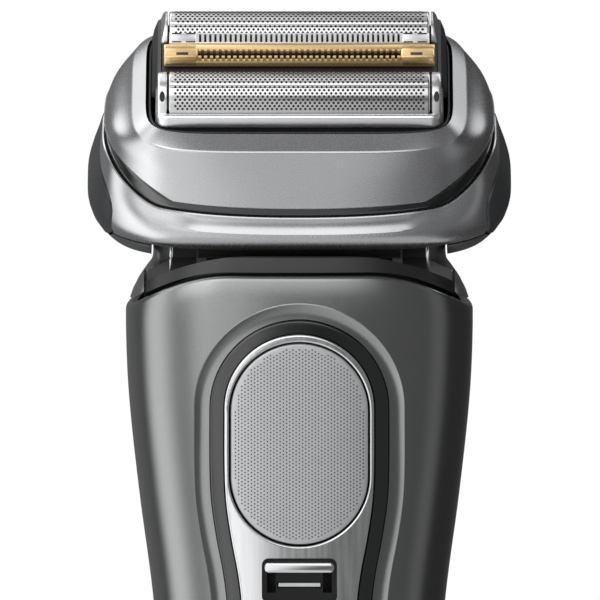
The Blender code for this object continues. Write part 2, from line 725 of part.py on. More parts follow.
def pad_skin(inset):
    """The head's sides where the release buttons lie, as rings moved inwards by inset."""
    def ledge(x):
        return lower_seam(x) - LEDGE_DROP

    return [
        power_ring(shrunk(LOWER_TOP, inset), lambda x: lower_seam(x) - 0.2),
        power_ring(shrunk(LOWER_LEDGE, inset), ledge),
        power_ring(shrunk(LOWER_BELT, inset), LOWER_BELT_Z),
        power_ring(shrunk(UNDER_RINGS[0][1:4], inset), UNDER_SEAM_Z, 3.6),
        power_ring(shrunk(UNDER_RINGS[1][1:4], inset), -24.0, 4.5),
    ]


def build_drive(head):
    """The linear motor in the head and the three pins that carry its stroke to the cutters."""
    stator = add("motor_stator", box((-11.5, -8.0, -23.0), (11.5, 8.0, -18.2)), STEEL, head)
    cut(stator, tool("stator_slot", box((-8.5, -5.5, -21.0), (8.5, 5.5, -17.0)), head))
    coil = prism(rounded_box_outline(7.8, 4.8, 2.4), "Z", -20.6, -16.2)
    coil = add("motor_coil", coil, COPPER, head)
    cut(coil, tool("coil_core", prism(rounded_box_outline(4.6, 1.8, 0.8), "Z", -25, -10), head))
    carrier = add("drive_carrier", box((-11.0, -10.2, -15.6), (11.0, 10.2, -13.9)), BLACK_MATT, head)
    deck = bpy.data.objects["head_deck"]
    for name, y in (("front", -FOIL_Y), ("middle", 0.1), ("rear", FOIL_Y)):
        pin = prism(circle(DRIVE_PIN_R, (0, y), 12), "Z", -14.5, PIN_TOP_Z)
        join(carrier, tool(f"drive_pin_{name}", pin, head))
        way = prism(rounded_box_outline(2.6, 1.5, 1.2, (0, y)), "Z", -12, -8)
        cut(deck, tool(f"pin_way_{name}", way, head))


def foil_section(radius, centre_y, bottom):
    """An arch in y and z."""
    arc = [math.radians(15 * i) for i in range(13)]
    arch = [(centre_y + radius * math.cos(a), FOIL_Z + radius * math.sin(a)) for a in arc]
    return [(centre_y + radius, bottom)] + arch + [(centre_y - radius, bottom)]


def cutter_block(centre_y):
    """A row of half round fins on a spine."""
    def ring(x, radius):
        arc = [math.radians(22.5 * i) for i in range(9)]
        arch = [(x, centre_y + radius * math.cos(a), FOIL_Z + radius * math.sin(a)) for a in arc]
        return [(x, centre_y + 2.2, -1.2)] + arch + [(x, centre_y - 2.2, -1.2)]

    rings = []
    count = round(2 * CUTTER_HALF_L / CUTTER_PITCH)
    for i in range(count):
        x = -CUTTER_HALF_L + i * 2 * CUTTER_HALF_L / count
        fin_end = x + CUTTER_PITCH * 0.45
        rings += [ring(x, CUTTER_R), ring(fin_end, CUTTER_R)]
        rings += [ring(fin_end + 0.15, 2.4), ring(x + 2 * CUTTER_HALF_L / count - 0.15, 2.4)]
    rings[-1] = ring(CUTTER_HALF_L - 0.05, 2.4)
    return loft(rings)


def build_foil(name, centre_y, head):
    """A foil on its own floating frame, with its cutter block inside."""
    bottom = -0.6
    outer = foil_section(FOIL_R, centre_y, bottom)
    inner = foil_section(FOIL_R - FOIL_SHEET, centre_y, bottom)
    add(name + "_foil", prism(outer + inner[::-1], "X", -FOIL_HALF_L, FOIL_HALF_L), STEEL, head)

    rail = (-2.3, bottom - GAP)
    frame = add(name + "_foil_frame", box(
        (-20.4, centre_y - FOIL_R, rail[0]), (20.4, centre_y + FOIL_R, rail[1])), SATIN, head)
    cut(frame, tool(name + "_frame_window", box(
        (-19.4, centre_y - 3.2, -5), (19.4, centre_y + 3.2, 5)), head))
    for side in (-1, 1):
        end = foil_section(3.2, centre_y, rail[0])
        xs = sorted((side * (FOIL_HALF_L + GAP), side * 21.6))
        join(frame, tool(f"{name}_frame_end_{side}", prism(end, "X", *xs), head))

    cutter = add(name + "_cutter", cutter_block(centre_y), STEEL, head)
    pocket = prism(circle(1.4, (0, centre_y), 12), "Z", -3, 2.1)
    cut(cutter, tool(name + "_pin_pocket", pocket, head))


def build_middle_trimmers(head):
    """The two narrow trimmers between the foils: a gold guard in front and a slotted comb behind."""
    carrier = add("middle_carrier", box((-21.6, -3.9, -3.0), (21.6, 4.1, 4.2)), BLACK_MATT, head)
    cut(
        carrier,
        tool("middle_hollow", box((-20.0, -2.9, -5), (20.0, 3.1, 3.2)), head),
        tool("middle_slot_front", box((-17.5, -1.9, 2), (17.5, -0.5, 6)), head),
        tool("middle_slot_rear", box((-17.5, 1.4, 2), (17.5, 3.0, 6)), head),
    )
    gold = add("gold_guard", box((-21.3, -2.9, 4.5), (21.3, 0.5, 6.6)), GOLD, head)
    cut(
        gold,
        tool("gold_channel", box((-18.5, -2.0, 4), (18.5, -0.4, 5.7)), head),
        tool("gold_slot", box((-16.2, -1.8, 5), (16.2, -0.6, 8)), head),
    )
    comb = add("comb_guard", box((-20.5, 0.9, 4.5), (20.5, 3.9, 6.5)), STEEL, head)
    cut(comb, tool("comb_channel", box((-18.5, 1.6, 4), (18.5, 3.2, 5.7)), head))
    for k in range(-8, 9):
        cut(comb, tool(f"comb_slot_{k}", box((1.9 * k - 0.35, 0.5, 5.2), (1.9 * k + 0.35, 3.0, 8)), head))
    blade = add("middle_blade", box((-18.5, -2.4, -1.8), (18.5, 2.6, 2.7)), STEEL, head)
    cut(blade, tool("middle_pin_pocket", prism(circle(1.4, (0, 0.1), 12), "Z", -3, 2.1), head))


def build_cassette(head):
    def ring(inset, z):
        half_w, half_y = (v - inset for v in CASSETTE_HALF)
        return [(x, y, z) for x, y in rounded_box_outline(half_w, half_y, 2.0 - inset)]

    trim = [ring(0, TRIM_BOTTOM), ring(0, 1.7), ring(0.25, CASSETTE_TOP), ring(0.6, CASSETTE_TOP)]
    add("cassette_trim", loft(trim + [ring(0.6, TRIM_BOTTOM)], closed=True), STEEL, head)
    top = TRIM_BOTTOM - GAP
    body = [ring(0.3, CASSETTE_BOTTOM), ring(0.3, top), ring(0.75, top), ring(0.75, -6.6)]
    body += [[(x * 0.93, y * 0.88, z) for x, y, z in ring(0.75, -6.6)]]
    body += [[(x, y, CASSETTE_BOTTOM) for x, y, _ in body[-1]]]
    add("cassette_body", loft(body, closed=True), BLACK_MATT, head)


def build_head():
    pivot = empty("head_pivot", (0, 0, PIVOT_Z), lean=HEAD_LEAN)
    head = empty("head_frame", (0, 0, RIM_ABOVE_PIVOT), pivot)
    build_head_housings(head)
    build_drive(head)
    build_cassette(head)
    build_foil("front", -FOIL_Y, head)
    build_foil("rear", FOIL_Y, head)
    build_middle_trimmers(head)


def build():
    clear_scene()
    build_handle_shells()
    build_base()
    build_front_trim()
    build_lock()
    build_shoulder()
    build_yoke()
    build_electronics()
    build_rear_trimmer()
    build_head()


build()
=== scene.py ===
import json
import math

import bmesh
import bpy
from mathutils import Matrix, Vector


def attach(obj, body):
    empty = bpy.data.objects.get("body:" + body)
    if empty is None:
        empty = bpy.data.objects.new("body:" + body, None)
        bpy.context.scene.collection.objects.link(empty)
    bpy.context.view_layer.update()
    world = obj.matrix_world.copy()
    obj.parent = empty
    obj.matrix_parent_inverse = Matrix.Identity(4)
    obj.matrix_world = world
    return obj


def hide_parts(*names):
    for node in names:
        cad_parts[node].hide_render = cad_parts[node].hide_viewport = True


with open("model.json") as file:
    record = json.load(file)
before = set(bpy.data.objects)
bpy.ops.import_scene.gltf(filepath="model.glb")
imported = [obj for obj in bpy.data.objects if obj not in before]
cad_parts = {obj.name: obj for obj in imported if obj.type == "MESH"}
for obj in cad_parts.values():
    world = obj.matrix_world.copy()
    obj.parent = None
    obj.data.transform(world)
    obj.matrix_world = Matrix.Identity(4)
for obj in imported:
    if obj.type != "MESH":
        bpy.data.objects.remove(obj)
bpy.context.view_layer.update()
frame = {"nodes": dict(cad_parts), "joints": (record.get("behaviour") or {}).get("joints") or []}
mm = 0.001
print("stage: frame loaded,", len(frame["nodes"]), "nodes")

# The head's pivot and lean come from the joints.
joints = {joint["name"]: joint for joint in frame["joints"]}
pivotZ = joints["head_tilt"]["pos_m"][2] / mm
liftAxis = Vector(joints["cassette_lift"]["axis"])
headLean = math.atan2(-liftAxis.y, liftAxis.z)
rimAbovePivot = 14.0  # the cassette opening's rim, up the head's own axis
pinBore = 1.78  # radius of the bores that the pivot pins pass through
headPlace = (
    Matrix.Translation((0, 0, pivotZ * mm))
    @ Matrix.Rotation(headLean, 4, "X")
    @ Matrix.Translation((0, 0, rimAbovePivot * mm))
)


# Shader and geometry trees, written as expressions

class Socket:
    # wraps one output so that + - * / build Math nodes
    def __init__(self, tree, out):
        self.tree, self.out = tree, out

    def math(self, operation, other=0.0, flipped=False):
        isVector = self.out.type == "VECTOR"
        made = self.tree.nodes.new("ShaderNodeVectorMath" if isVector else "ShaderNodeMath")
        made.operation = operation
        for slot, value in zip((0, 1), (other, self) if flipped else (self, other)):
            if isinstance(value, Socket):
                self.tree.links.new(value.out, made.inputs[slot])
            else:
                made.inputs[slot].default_value = value
        return Socket(self.tree, made.outputs[0])

    def __add__(self, other): return self.math("ADD", other)
    def __sub__(self, other): return self.math("SUBTRACT", other)
    def __rsub__(self, other): return self.math("SUBTRACT", other, True)
    def __mul__(self, other): return self.math("MULTIPLY", other)
    def __truediv__(self, other): return self.math("DIVIDE", other)
    def __gt__(self, other): return self.math("GREATER_THAN", other)


class Tree:
    def __init__(self, tree):
        self.tree = tree

    def node(self, kind, settings=None, values=None, output=0):
        made = self.tree.nodes.new(kind)
        for name, value in (settings or {}).items():
            setattr(made, name, value)
        for name, value in (values or {}).items():
            if isinstance(value, Socket):
                self.tree.links.new(value.out, made.inputs[name])
            else:
                made.inputs[name].default_value = value
        return Socket(self.tree, made.outputs[output])

    def output(self, socket, name):
        # another output of the node that a socket comes from
        return Socket(self.tree, socket.out.node.outputs[name])


class Finish(Tree):
    # a Principled material: plain numbers go straight on the shader, a pattern is linked
    def __init__(self, name, color, roughness, metallic=0.0, **plain):
        self.material = bpy.data.materials.new(name)
        self.material.use_nodes = True
        super().__init__(self.material.node_tree)
        self.shader = self.tree.nodes["Principled BSDF"]
        self.put("Base Color", (*color, 1.0))
        self.put("Roughness", roughness)
        self.put("Metallic", metallic)
        for name, value in plain.items():
            self.put(name.replace("_", " "), value)
        self.material.diffuse_color = (*color, 1.0)

    def put(self, name, value):
        if isinstance(value, Socket):
            self.tree.links.new(value.out, self.shader.inputs[name])
        else:
            self.shader.inputs[name].default_value = value

    def spot(self, stretch=(1, 1, 1), turn=(0, 0, 0)):
        place = self.node("ShaderNodeTexCoord", output="Object")
        return self.node("ShaderNodeMapping", None, {"Vector": place, "Scale": stretch, "Rotation": turn})

    def noise(self, scale, detail=3.0, stretch=(1, 1, 1)):
        return self.node("ShaderNodeTexNoise", None, {
            "Vector": self.spot(stretch), "Scale": scale, "Detail": detail})

    def cells(self, scale, feature="F1", stretch=(1, 1, 1)):
        return self.node("ShaderNodeTexVoronoi", {"feature": feature}, {
            "Vector": self.spot(stretch), "Scale": scale})

    def ramp(self, factor, low, high):
        return self.node("ShaderNodeMapRange", {"clamp": True}, {
            "Value": factor, "From Min": low, "From Max": high})

    def blendColor(self, factor, first, second):
        made = self.tree.nodes.new("ShaderNodeMix")
        made.data_type = "RGBA"
        self.tree.links.new(factor.out, made.inputs["Factor"])
        for slot, value in ((6, first), (7, second)):
            made.inputs[slot].default_value = (*value, 1.0)
        return Socket(self.tree, made.outputs[2])

    def bump(self, height, strength=0.2, depth=0.05):
        self.put("Normal", self.node("ShaderNodeBump", None, {
            "Height": height, "Strength": strength, "Distance": depth * mm}))


# Materials

def metallicPaint(name, color, roughness, metallic=0.85, coat=0.3, flake=0.06):
    # a lacquer with fine flakes: small cells vary the colour and the roughness
    paint = Finish(name, color, roughness, metallic, Coat_Weight=coat, Coat_Roughness=0.08)
    flakes = paint.ramp(paint.noise(9000, 2.0), 0.35, 0.7)
    darker = tuple(c * (1 - flake) for c in color)
    lighter = tuple(min(1, c * (1 + flake)) for c in color)
    paint.put("Base Color", paint.blendColor(flakes, darker, lighter))
    clouds = paint.noise(120, 3.0)
    paint.put("Roughness", clouds * 0.05 + flakes * 0.04 + (roughness - 0.045))
    paint.bump(paint.noise(5200, 2.0), 0.05, 0.01)
    return paint.material


def brushedMetal(name, color, roughness, stretch, strength=0.12, metallic=1.0):
    # fine scratches, long along the axis that the stretch makes small
    metal = Finish(name, color, roughness, metallic)
    scratches = metal.noise(1600, 4.0, stretch)
    broad = metal.noise(90, 2.0)
    metal.put("Roughness", scratches * 0.16 + broad * 0.06 + (roughness - 0.11))
    metal.put("Base Color", metal.blendColor(
        metal.ramp(scratches, 0.3, 0.75), tuple(c * 0.9 for c in color), color))
    metal.bump(scratches, strength, 0.01)
    return metal.material


def mouldedPlastic(name, color, roughness, grain=2600, strength=0.18, coat=0.0):
    # fine spark-eroded grain, with slow changes of gloss from handling
    plastic = Finish(name, color, roughness, 0.0, Coat_Weight=coat, Coat_Roughness=0.05)
    handled = plastic.noise(70, 3.0)
    plastic.put("Roughness", handled * 0.12 + (roughness - 0.06))
    plastic.put("Base Color", plastic.blendColor(
        plastic.ramp(handled, 0.3, 0.7), tuple(c * 0.85 for c in color), tuple(c * 1.15 for c in color)))
    plastic.bump(plastic.noise(grain, 3.0), strength, 0.02)
    return plastic.material


def softRubber(name, color):
    rubber = Finish(name, color, 0.62, 0.0, Sheen_Weight=0.15)
    pores = rubber.ramp(rubber.cells(2200), 0.0, 0.5)
    dust = rubber.noise(160, 4.0)
    rubber.put("Base Color", rubber.blendColor(
        rubber.ramp(dust, 0.4, 0.75), color, tuple(c * 1.5 for c in color)))
    rubber.put("Roughness", dust * 0.18 + 0.5)
    rubber.bump(pores, 0.35, 0.03)
    return rubber.material


def woundCopper(name):
    wire = Finish(name, (0.62, 0.25, 0.1), 0.35, 1.0, Coat_Weight=0.6)
    turns = wire.node("ShaderNodeTexWave", {"wave_type": "BANDS", "bands_direction": "Z"}, {
        "Vector": wire.spot(), "Scale": 700.0, "Distortion": 0.4})
    wire.put("Base Color", wire.blendColor(turns, (0.35, 0.12, 0.05), (0.72, 0.33, 0.16)))
    wire.bump(turns, 0.6, 0.1)
    return wire.material


def printedBoard(name):
    board = Finish(name, (0.02, 0.13, 0.06), 0.45, 0.0, Coat_Weight=0.4)
    traces = board.node("ShaderNodeTexBrick", None, {
        "Vector": board.spot((1, 0, 1)), "Scale": 260.0, "Mortar Size": 0.03}, "Fac")
    board.put("Base Color", board.blendColor(traces, (0.02, 0.13, 0.06), (0.05, 0.26, 0.12)))
    board.bump(traces, 0.3, 0.03)
    return board.material


def glassBlack(name):
    glass = Finish(name, (0.006, 0.007, 0.009), 0.06, 0.0, Coat_Weight=1.0, Coat_Roughness=0.02)
    smears = glass.noise(140, 4.0)
    glass.put("Roughness", smears * 0.07 + 0.03)
    return glass.material


materials = {
    "satin_metal": metallicPaint("satinSilver", (0.54, 0.545, 0.56), 0.27, 0.95, 0.15),
    "under_metal": metallicPaint("underGrey", (0.2, 0.205, 0.215), 0.36, coat=0.2),
    "gunmetal": metallicPaint("gunmetalLacquer", (0.27, 0.28, 0.275), 0.24, 0.97, 0.3, 0.1),
    "rubber_grip": softRubber("gripRubber", (0.022, 0.023, 0.024)),
    "plate_metal": brushedMetal("plateSatin", (0.78, 0.79, 0.8), 0.2, (1, 1, 0.04), 0.05),
    "black_gloss": mouldedPlastic("pianoBlack", (0.006, 0.007, 0.007), 0.12, 900, 0.02, 1.0),
    "display_glass": glassBlack("displayGlass"),
    "black_matt": mouldedPlastic("mattBlack", (0.02, 0.021, 0.022), 0.5),
    "steel": brushedMetal("foilSteel", (0.7, 0.7, 0.705), 0.22, (0.05, 1, 1), 0.06),
    "bright_metal": brushedMetal("brightFrame", (0.78, 0.785, 0.8), 0.2, (0.03, 1, 1), 0.05),
    "gold_trim": brushedMetal("goldTrim", (0.95, 0.68, 0.34), 0.3, (0.05, 1, 1), 0.05, 0.85),
    "copper": woundCopper("woundCopper"),
    "board_green": printedBoard("printedBoard"),
    "cell_wrap": mouldedPlastic("cellWrap", (0.05, 0.14, 0.32), 0.4, 500, 0.1, 0.3),
    "mark_white": mouldedPlastic("markSilver", (0.7, 0.71, 0.72), 0.35, 2600, 0.05),
}
armPaint = metallicPaint("armLacquer", (0.2, 0.203, 0.207), 0.36, 0.8, 0.3)
capBlack = mouldedPlastic("capBlack", (0.011, 0.0115, 0.012), 0.3, 2600, 0.05)
padBlack = mouldedPlastic("padBlack", (0.03, 0.032, 0.034), 0.42, 3000, 0.12, 0.1)
brightFrame = brushedMetal("brightFrameSteel", (0.9, 0.905, 0.92), 0.3, (0.03, 1, 1), 0.05)
brightChrome = brushedMetal("brightChrome", (0.82, 0.83, 0.84), 0.16, (0.05, 1, 1), 0.03)
buttonFace = brushedMetal("buttonFace", (0.62, 0.625, 0.635), 0.46, (1, 1, 1), 0.05, 0.85)
# dark marks for the power button: painted shade where its dimples would hold shade
dotGrey = mouldedPlastic("dotGrey", (0.05, 0.052, 0.055), 0.6)
# dark discs for the foils: painted shade in place of the shade inside their holes
holeDark = mouldedPlastic("holeDark", (0.012, 0.012, 0.013), 0.7)
print("stage: materials ready")


# Mesh helpers. Points are in millimetres, and an outline is a closed list of points.

def makePiece(name, bm, head=False, sharp=32):
    bmesh.ops.recalc_face_normals(bm, faces=bm.faces)
    mesh = bpy.data.meshes.new(name)
    bm.to_mesh(mesh)
    bm.free()
    if head:
        mesh.transform(headPlace)
    piece = bpy.data.objects.new(name, mesh)
    bpy.context.scene.collection.objects.link(piece)
    smooth(piece, sharp)
    return piece


def smooth(piece, sharp=32):
    piece.data.shade_smooth()
    piece.data.set_sharp_from_angle(angle=math.radians(sharp))


def settle(piece):
    # turns the piece's modifiers into a plain mesh
    bpy.context.view_layer.update()
    depsgraph = bpy.context.evaluated_depsgraph_get()
    piece.data = bpy.data.meshes.new_from_object(piece.evaluated_get(depsgraph))
    piece.modifiers.clear()
    return piece


def carve(piece, *cutters, operation="DIFFERENCE", sharp=32):
    for cutter in cutters:
        modifier = piece.modifiers.new("carve", "BOOLEAN")
        modifier.operation, modifier.object, modifier.solver = operation, cutter, "EXACT"
    settle(piece)
    for cutter in cutters:
        bpy.data.objects.remove(cutter)
    smooth(piece, sharp)
    return piece


def place(piece, body, slot, *nodes, material=None):
    if not piece.data.materials:
        piece.data.materials.append(material or materials[slot])
    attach(piece, body)
    if nodes:
        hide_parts(*nodes)
    return piece


def loft(rings, closed=False, bm=None):
    bm = bm or bmesh.new()
    rows = [[bm.verts.new(Vector(p) * mm) for p in ring] for ring in rings]
    for low, high in list(zip(rows, rows[1:])) + ([(rows[-1], rows[0])] if closed else []):
        for i in range(len(low)):
            j = (i + 1) % len(low)
            bm.faces.new((low[i], low[j], high[j], high[i]))
    if not closed:
        bm.faces.new(rows[0])
        bm.faces.new(rows[-1])
    return bm


def prism(outline, axis, low, high, bm=None):
    place = {
        "x": lambda a, b, t: (t, a, b),
        "y": lambda a, b, t: (a, t, b),
        "z": lambda a, b, t: (a, b, t),
    }[axis]
    return loft([[place(a, b, t) for a, b in outline] for t in (low, high)], bm=bm)


def softBox(low, high, radius=0.25, bm=None, segments=2):
    bm = bm or bmesh.new()
    size = [b - a for a, b in zip(low, high)]
    centre = [(a + b) / 2 for a, b in zip(low, high)]
    cube = bmesh.ops.create_cube(bm, size=1.0, matrix=Matrix.Translation(Vector(centre) * mm)
                                 @ Matrix.Diagonal((*[s * mm for s in size], 1)))
    edges = list({e for v in cube["verts"] for e in v.link_edges})
    bmesh.ops.bevel(bm, geom=edges, offset=radius * mm, segments=segments, affect="EDGES", profile=0.5)
    return bm


def circle(radius, centre=(0, 0), sides=48):
    turn = 2 * math.pi / sides
    return [(centre[0] + radius * math.cos(i * turn), centre[1] + radius * math.sin(i * turn))
            for i in range(sides)]


def roundedRectangle(halfWidth, halfHeight, corner, centre=(0, 0), steps=8):
    outline = []
    for quarter in range(4):
        sideX, sideY = (1, -1, -1, 1)[quarter], (1, 1, -1, -1)[quarter]
        for i in range(steps + 1):
            angle = math.radians(90 * quarter + 90 * i / steps)
            outline.append((centre[0] + sideX * (halfWidth - corner) + corner * math.cos(angle),
                            centre[1] + sideY * (halfHeight - corner) + corner * math.sin(angle)))
    return outline


def mix(a, b, t):
    return a + (b - a) * t


def step(low, high, value):
    t = min(max((value - low) / (high - low), 0.0), 1.0)
    return t * t * (3 - 2 * t)


def stationAt(stations, at):
    # the values at a height, on a smooth curve through the stations
    at = min(max(at, stations[0][0]), stations[-1][0])
    k = max(i for i in range(len(stations) - 1) if stations[i][0] <= at)
    span = stations[k + 1][0] - stations[k][0]
    t = (at - stations[k][0]) / span

    def slope(i, j):
        a, b = max(i - 1, 0), min(i + 1, len(stations) - 1)
        return (stations[b][j] - stations[a][j]) / (stations[b][0] - stations[a][0])

    return [(2 * t**3 - 3 * t**2 + 1) * stations[k][j] + (t**3 - 2 * t**2 + t) * slope(k, j) * span
            + (3 * t**2 - 2 * t**3) * stations[k + 1][j] + (t**3 - t**2) * slope(k + 1, j) * span
            for j in range(1, len(stations[0]))]


# Camera, floor and light

studio = {
    "elevation": 5.5,  # degrees above level
    "distance": 2.6,
    "viewWidth": 0.0948,  # how much of the object plane the picture takes in
    "aim": (0.0001, 0.0, 0.1144),
    "floorColor": (0.86, 0.86, 0.87),
    "floorRadius": 85,
    "diffuseSky": 0.6,
    "base": 0.05,
    # soft panels, in degrees: azimuth from the front, elevation, softness, brightness
    "panels": {
        "left": ((-96, -62), (-80, 70), (12, 14), 1.6),
        "frontLow": ((-70, 4), (-110, -20), (26, 8), 0.95),
        "frontLevel": ((-64, -30), (-18, 8), (10, 8), 0.45),
        "plateGlow": ((-36, -5), (-24, 6), (8, 6), 1.1),
        "frontHigh": ((-52, 14), (8, 50), (14, 5), 1.7),
        "rimGlow": ((-172, -104), (33, 60), (8, 5), 2.0),
        "rimGlowRight": ((104, 172), (33, 60), (8, 5), 1.3),
        "frontRight": ((4, 60), (-95, 60), (16, 14), 0.13),
        "right": ((62, 82), (-40, 50), (8, 14), 0.25),
    },
    "top": (80, 8, 1.2, (0.34, -0.3)),  # elevation, softness, brightness, and the reach from right to left
    "back": (0.16, 1.15),  # brightness low down and overhead
    # name: place, aim, width, height, brightness
    "lights": {
        "keySoftbox": ((-0.34, -0.42, 0.36), (0, 0, 0.12), 0.3, 0.4, 0.8),
        "topSoftbox": ((-0.1, -0.05, 0.6), (0, 0, 0.12), 0.4, 0.3, 0.3),
    },
}


def makeWorld(scene):
    world = bpy.data.worlds.new("studioWorld")
    world.use_nodes = True
    scene.world = world
    tree = Tree(world.node_tree)
    x = tree.node("ShaderNodeSeparateXYZ", None, {
        "Vector": tree.node("ShaderNodeTexCoord", output="Generated")})
    azimuth = x.math("ARCTAN2", tree.output(x, "Y") * -1.0) * math.degrees(1)
    elevation = tree.output(x, "Z").math("ARCSINE") * math.degrees(1)

    def edge(value, low, high):
        return tree.node("ShaderNodeMapRange", {"interpolation_type": "SMOOTHSTEP"}, {
            "Value": value, "From Min": low, "From Max": high})

    light = studio["base"]
    for (left, right), (low, high), (softX, softZ), brightness in studio["panels"].values():
        across = edge(azimuth, left - softX, left + softX) * edge(azimuth, right + softX, right - softX)
        up = edge(elevation, low - softZ, low + softZ) * edge(elevation, high + softZ, high - softZ)
        light = across * up * brightness + light
    start, soft, brightness, (right, left) = studio["top"]
    light = edge(elevation, start - soft, start + soft) * edge(x, right, left) * brightness + light
    behind = edge(azimuth.math("ABSOLUTE"), 95, 130) * edge(x, 0.7, -0.9)
    low, overhead = studio["back"]
    light = behind * (edge(elevation, 44, 62) * (overhead - low) + low) + light
    path = tree.node("ShaderNodeLightPath")
    diffuse = tree.output(path, "Is Diffuse Ray")
    strength = light * (1.0 - diffuse) + diffuse * studio["diffuseSky"]
    glow = tree.node("ShaderNodeBackground", None, {"Color": (1, 1, 1, 1), "Strength": strength})
    clean = tree.node("ShaderNodeBackground", None, {"Color": (1, 1, 1, 1), "Strength": 1.0})
    both = tree.tree.nodes.new("ShaderNodeMixShader")
    for slot, socket in enumerate((path, glow, clean)):
        tree.tree.links.new(socket.out, both.inputs[slot])
    tree.tree.links.new(both.outputs[0], tree.tree.nodes["World Output"].inputs["Surface"])


def makeStudio():
    scene = bpy.context.scene
    scene.view_settings.view_transform = "Standard"
    camera = bpy.data.objects.new("camera", bpy.data.cameras.new("camera"))
    scene.collection.objects.link(camera)
    scene.camera = camera
    lift = math.radians(studio["elevation"])
    back = Vector((0, -math.cos(lift), math.sin(lift)))
    camera.location = Vector(studio["aim"]) + back * studio["distance"]
    camera.rotation_euler = (-back).to_track_quat("-Z", "Y").to_euler()
    camera.data.sensor_width = 36
    camera.data.lens = 36 * studio["distance"] / studio["viewWidth"]
    camera.data.clip_start = 0.01

    for name, (spot, aim, width, height, brightness) in studio["lights"].items():
        lamp = bpy.data.lights.new(name, "AREA")
        lamp.shape, lamp.size, lamp.size_y = "RECTANGLE", width, height
        lamp.energy = brightness * math.pi * width * height
        light = bpy.data.objects.new(name, lamp)
        scene.collection.objects.link(light)
        light.location = spot
        light.rotation_euler = (Vector(aim) - Vector(spot)).to_track_quat("-Z", "Y").to_euler()
        light.visible_camera = False

    # a round floor, small enough to leave the front of the object its clean reflections
    radius = studio["floorRadius"]
    profile = ((radius, -6), (radius, -0.8), (radius - 0.2, -0.35), (radius - 0.6, -0.2), (2, -0.2))
    floor = makePiece("floor", loft([[(*point, z) for point in circle(r, sides=128)] for r, z in profile]))
    pale = Finish("paleFloor", studio["floorColor"], 0.75)
    shade = pale.noise(60, 3.0)
    pale.put("Roughness", shade * 0.1 + 0.7)
    floor.data.materials.append(pale.material)


makeWorld(bpy.context.scene)
makeStudio()
print("stage: studio ready")


# Geometry Nodes: rows of bars, and small marks laid over a surface

def newTree(name, inputs):
    tree = bpy.data.node_groups.new(name, "GeometryNodeTree")
    tree.interface.new_socket("Geometry", in_out="OUTPUT", socket_type="NodeSocketGeometry")
    for label, kind in inputs.items():
        tree.interface.new_socket(label, in_out="INPUT", socket_type="NodeSocket" + kind)
    source = tree.nodes.new("NodeGroupInput")
    return Tree(tree), {label: Socket(tree, source.outputs[label]) for label in inputs}


def closeTree(graph, geometry, material):
    real = graph.node("GeometryNodeRealizeInstances", None, {"Geometry": geometry})
    painted = graph.node("GeometryNodeSetMaterial", None, {"Geometry": real, "Material": material})
    sink = graph.tree.nodes.new("NodeGroupOutput")
    graph.tree.links.new(painted.out, sink.inputs["Geometry"])
    return graph.tree


def grow(name, tree, settings, head=False, sharp=30):
    # runs a tree on an empty mesh and keeps the result as a plain mesh
    piece = bpy.data.objects.new(name, bpy.data.meshes.new(name))
    bpy.context.scene.collection.objects.link(piece)
    modifier = piece.modifiers.new("grow", "NODES")
    modifier.node_group = tree
    for item in tree.interface.items_tree:
        if item.in_out == "INPUT":
            modifier[item.identifier] = settings[item.name]
    settle(piece)
    if head:
        piece.data.transform(headPlace)
    smooth(piece, sharp)
    return piece


def makeRowTree():
    # equal bars in a straight row, centred on a point
    graph, given = newTree("barRow", {
        "Count": "Int", "Step": "Vector", "Size": "Vector", "Centre": "Vector", "Material": "Material"})
    reach = graph.node("ShaderNodeVectorMath", {"operation": "SCALE"}, {
        "Vector": given["Step"], "Scale": (given["Count"] - 1.0) * -0.5})
    line = graph.node("GeometryNodeMeshLine", {"mode": "OFFSET"}, {
        "Count": given["Count"], "Start Location": reach, "Offset": given["Step"]})
    bar = graph.node("GeometryNodeMeshCube", None, {"Size": given["Size"]})
    bars = graph.node("GeometryNodeInstanceOnPoints", None, {"Points": line, "Instance": bar})
    moved = graph.node("GeometryNodeTransform", None, {"Geometry": bars, "Translation": given["Centre"]})
    return closeTree(graph, moved, given["Material"])


def makeArchDotsTree():
    # staggered rows of small dark discs round an arch that runs along X: painted shade standing in for the
    # dark insides of the foil's holes
    graph, given = newTree("archDots", {
        "Columns": "Int", "Rows": "Int", "Pitch": "Float", "Radius": "Float", "Start": "Float",
        "End": "Float", "Hole": "Float", "Proud": "Float", "Centre": "Vector", "Material": "Material"})
    grid = graph.node("GeometryNodeMeshGrid", None, {
        "Size X": given["Pitch"] * (given["Columns"] - 1.0), "Size Y": 1.0,
        "Vertices X": given["Columns"], "Vertices Y": given["Rows"]})
    x = graph.node("ShaderNodeSeparateXYZ", None, {"Vector": graph.node("GeometryNodeInputPosition")})
    share = graph.output(x, "Y") + 0.5
    row = (share * (given["Rows"] - 1.0)).math("ROUND")
    shift = (row.math("MODULO", 2.0) - 0.5) * given["Pitch"] * 0.5
    angle = given["Start"] + share * (given["End"] - given["Start"])
    kept = graph.node("GeometryNodeStoreNamedAttribute", {"data_type": "FLOAT", "domain": "POINT"}, {
        "Geometry": grid, "Name": "turn", "Value": angle})
    around = graph.node("ShaderNodeCombineXYZ", None, {
        "X": x + shift,
        "Y": angle.math("SINE") * given["Radius"] * -1.0,
        "Z": angle.math("COSINE") * given["Radius"]})
    bent = graph.node("GeometryNodeSetPosition", None, {"Geometry": kept, "Position": around})
    hole = graph.node("GeometryNodeMeshCylinder", None, {
        "Vertices": 6, "Radius": given["Hole"], "Depth": given["Proud"]})
    turn = graph.node("GeometryNodeInputNamedAttribute", {"data_type": "FLOAT"}, {"Name": "turn"})
    holes = graph.node("GeometryNodeInstanceOnPoints", None, {
        "Points": bent, "Instance": hole,
        "Rotation": graph.node("ShaderNodeCombineXYZ", None, {"X": turn})})
    moved = graph.node("GeometryNodeTransform", None, {"Geometry": holes, "Translation": given["Centre"]})
    return closeTree(graph, moved, given["Material"])


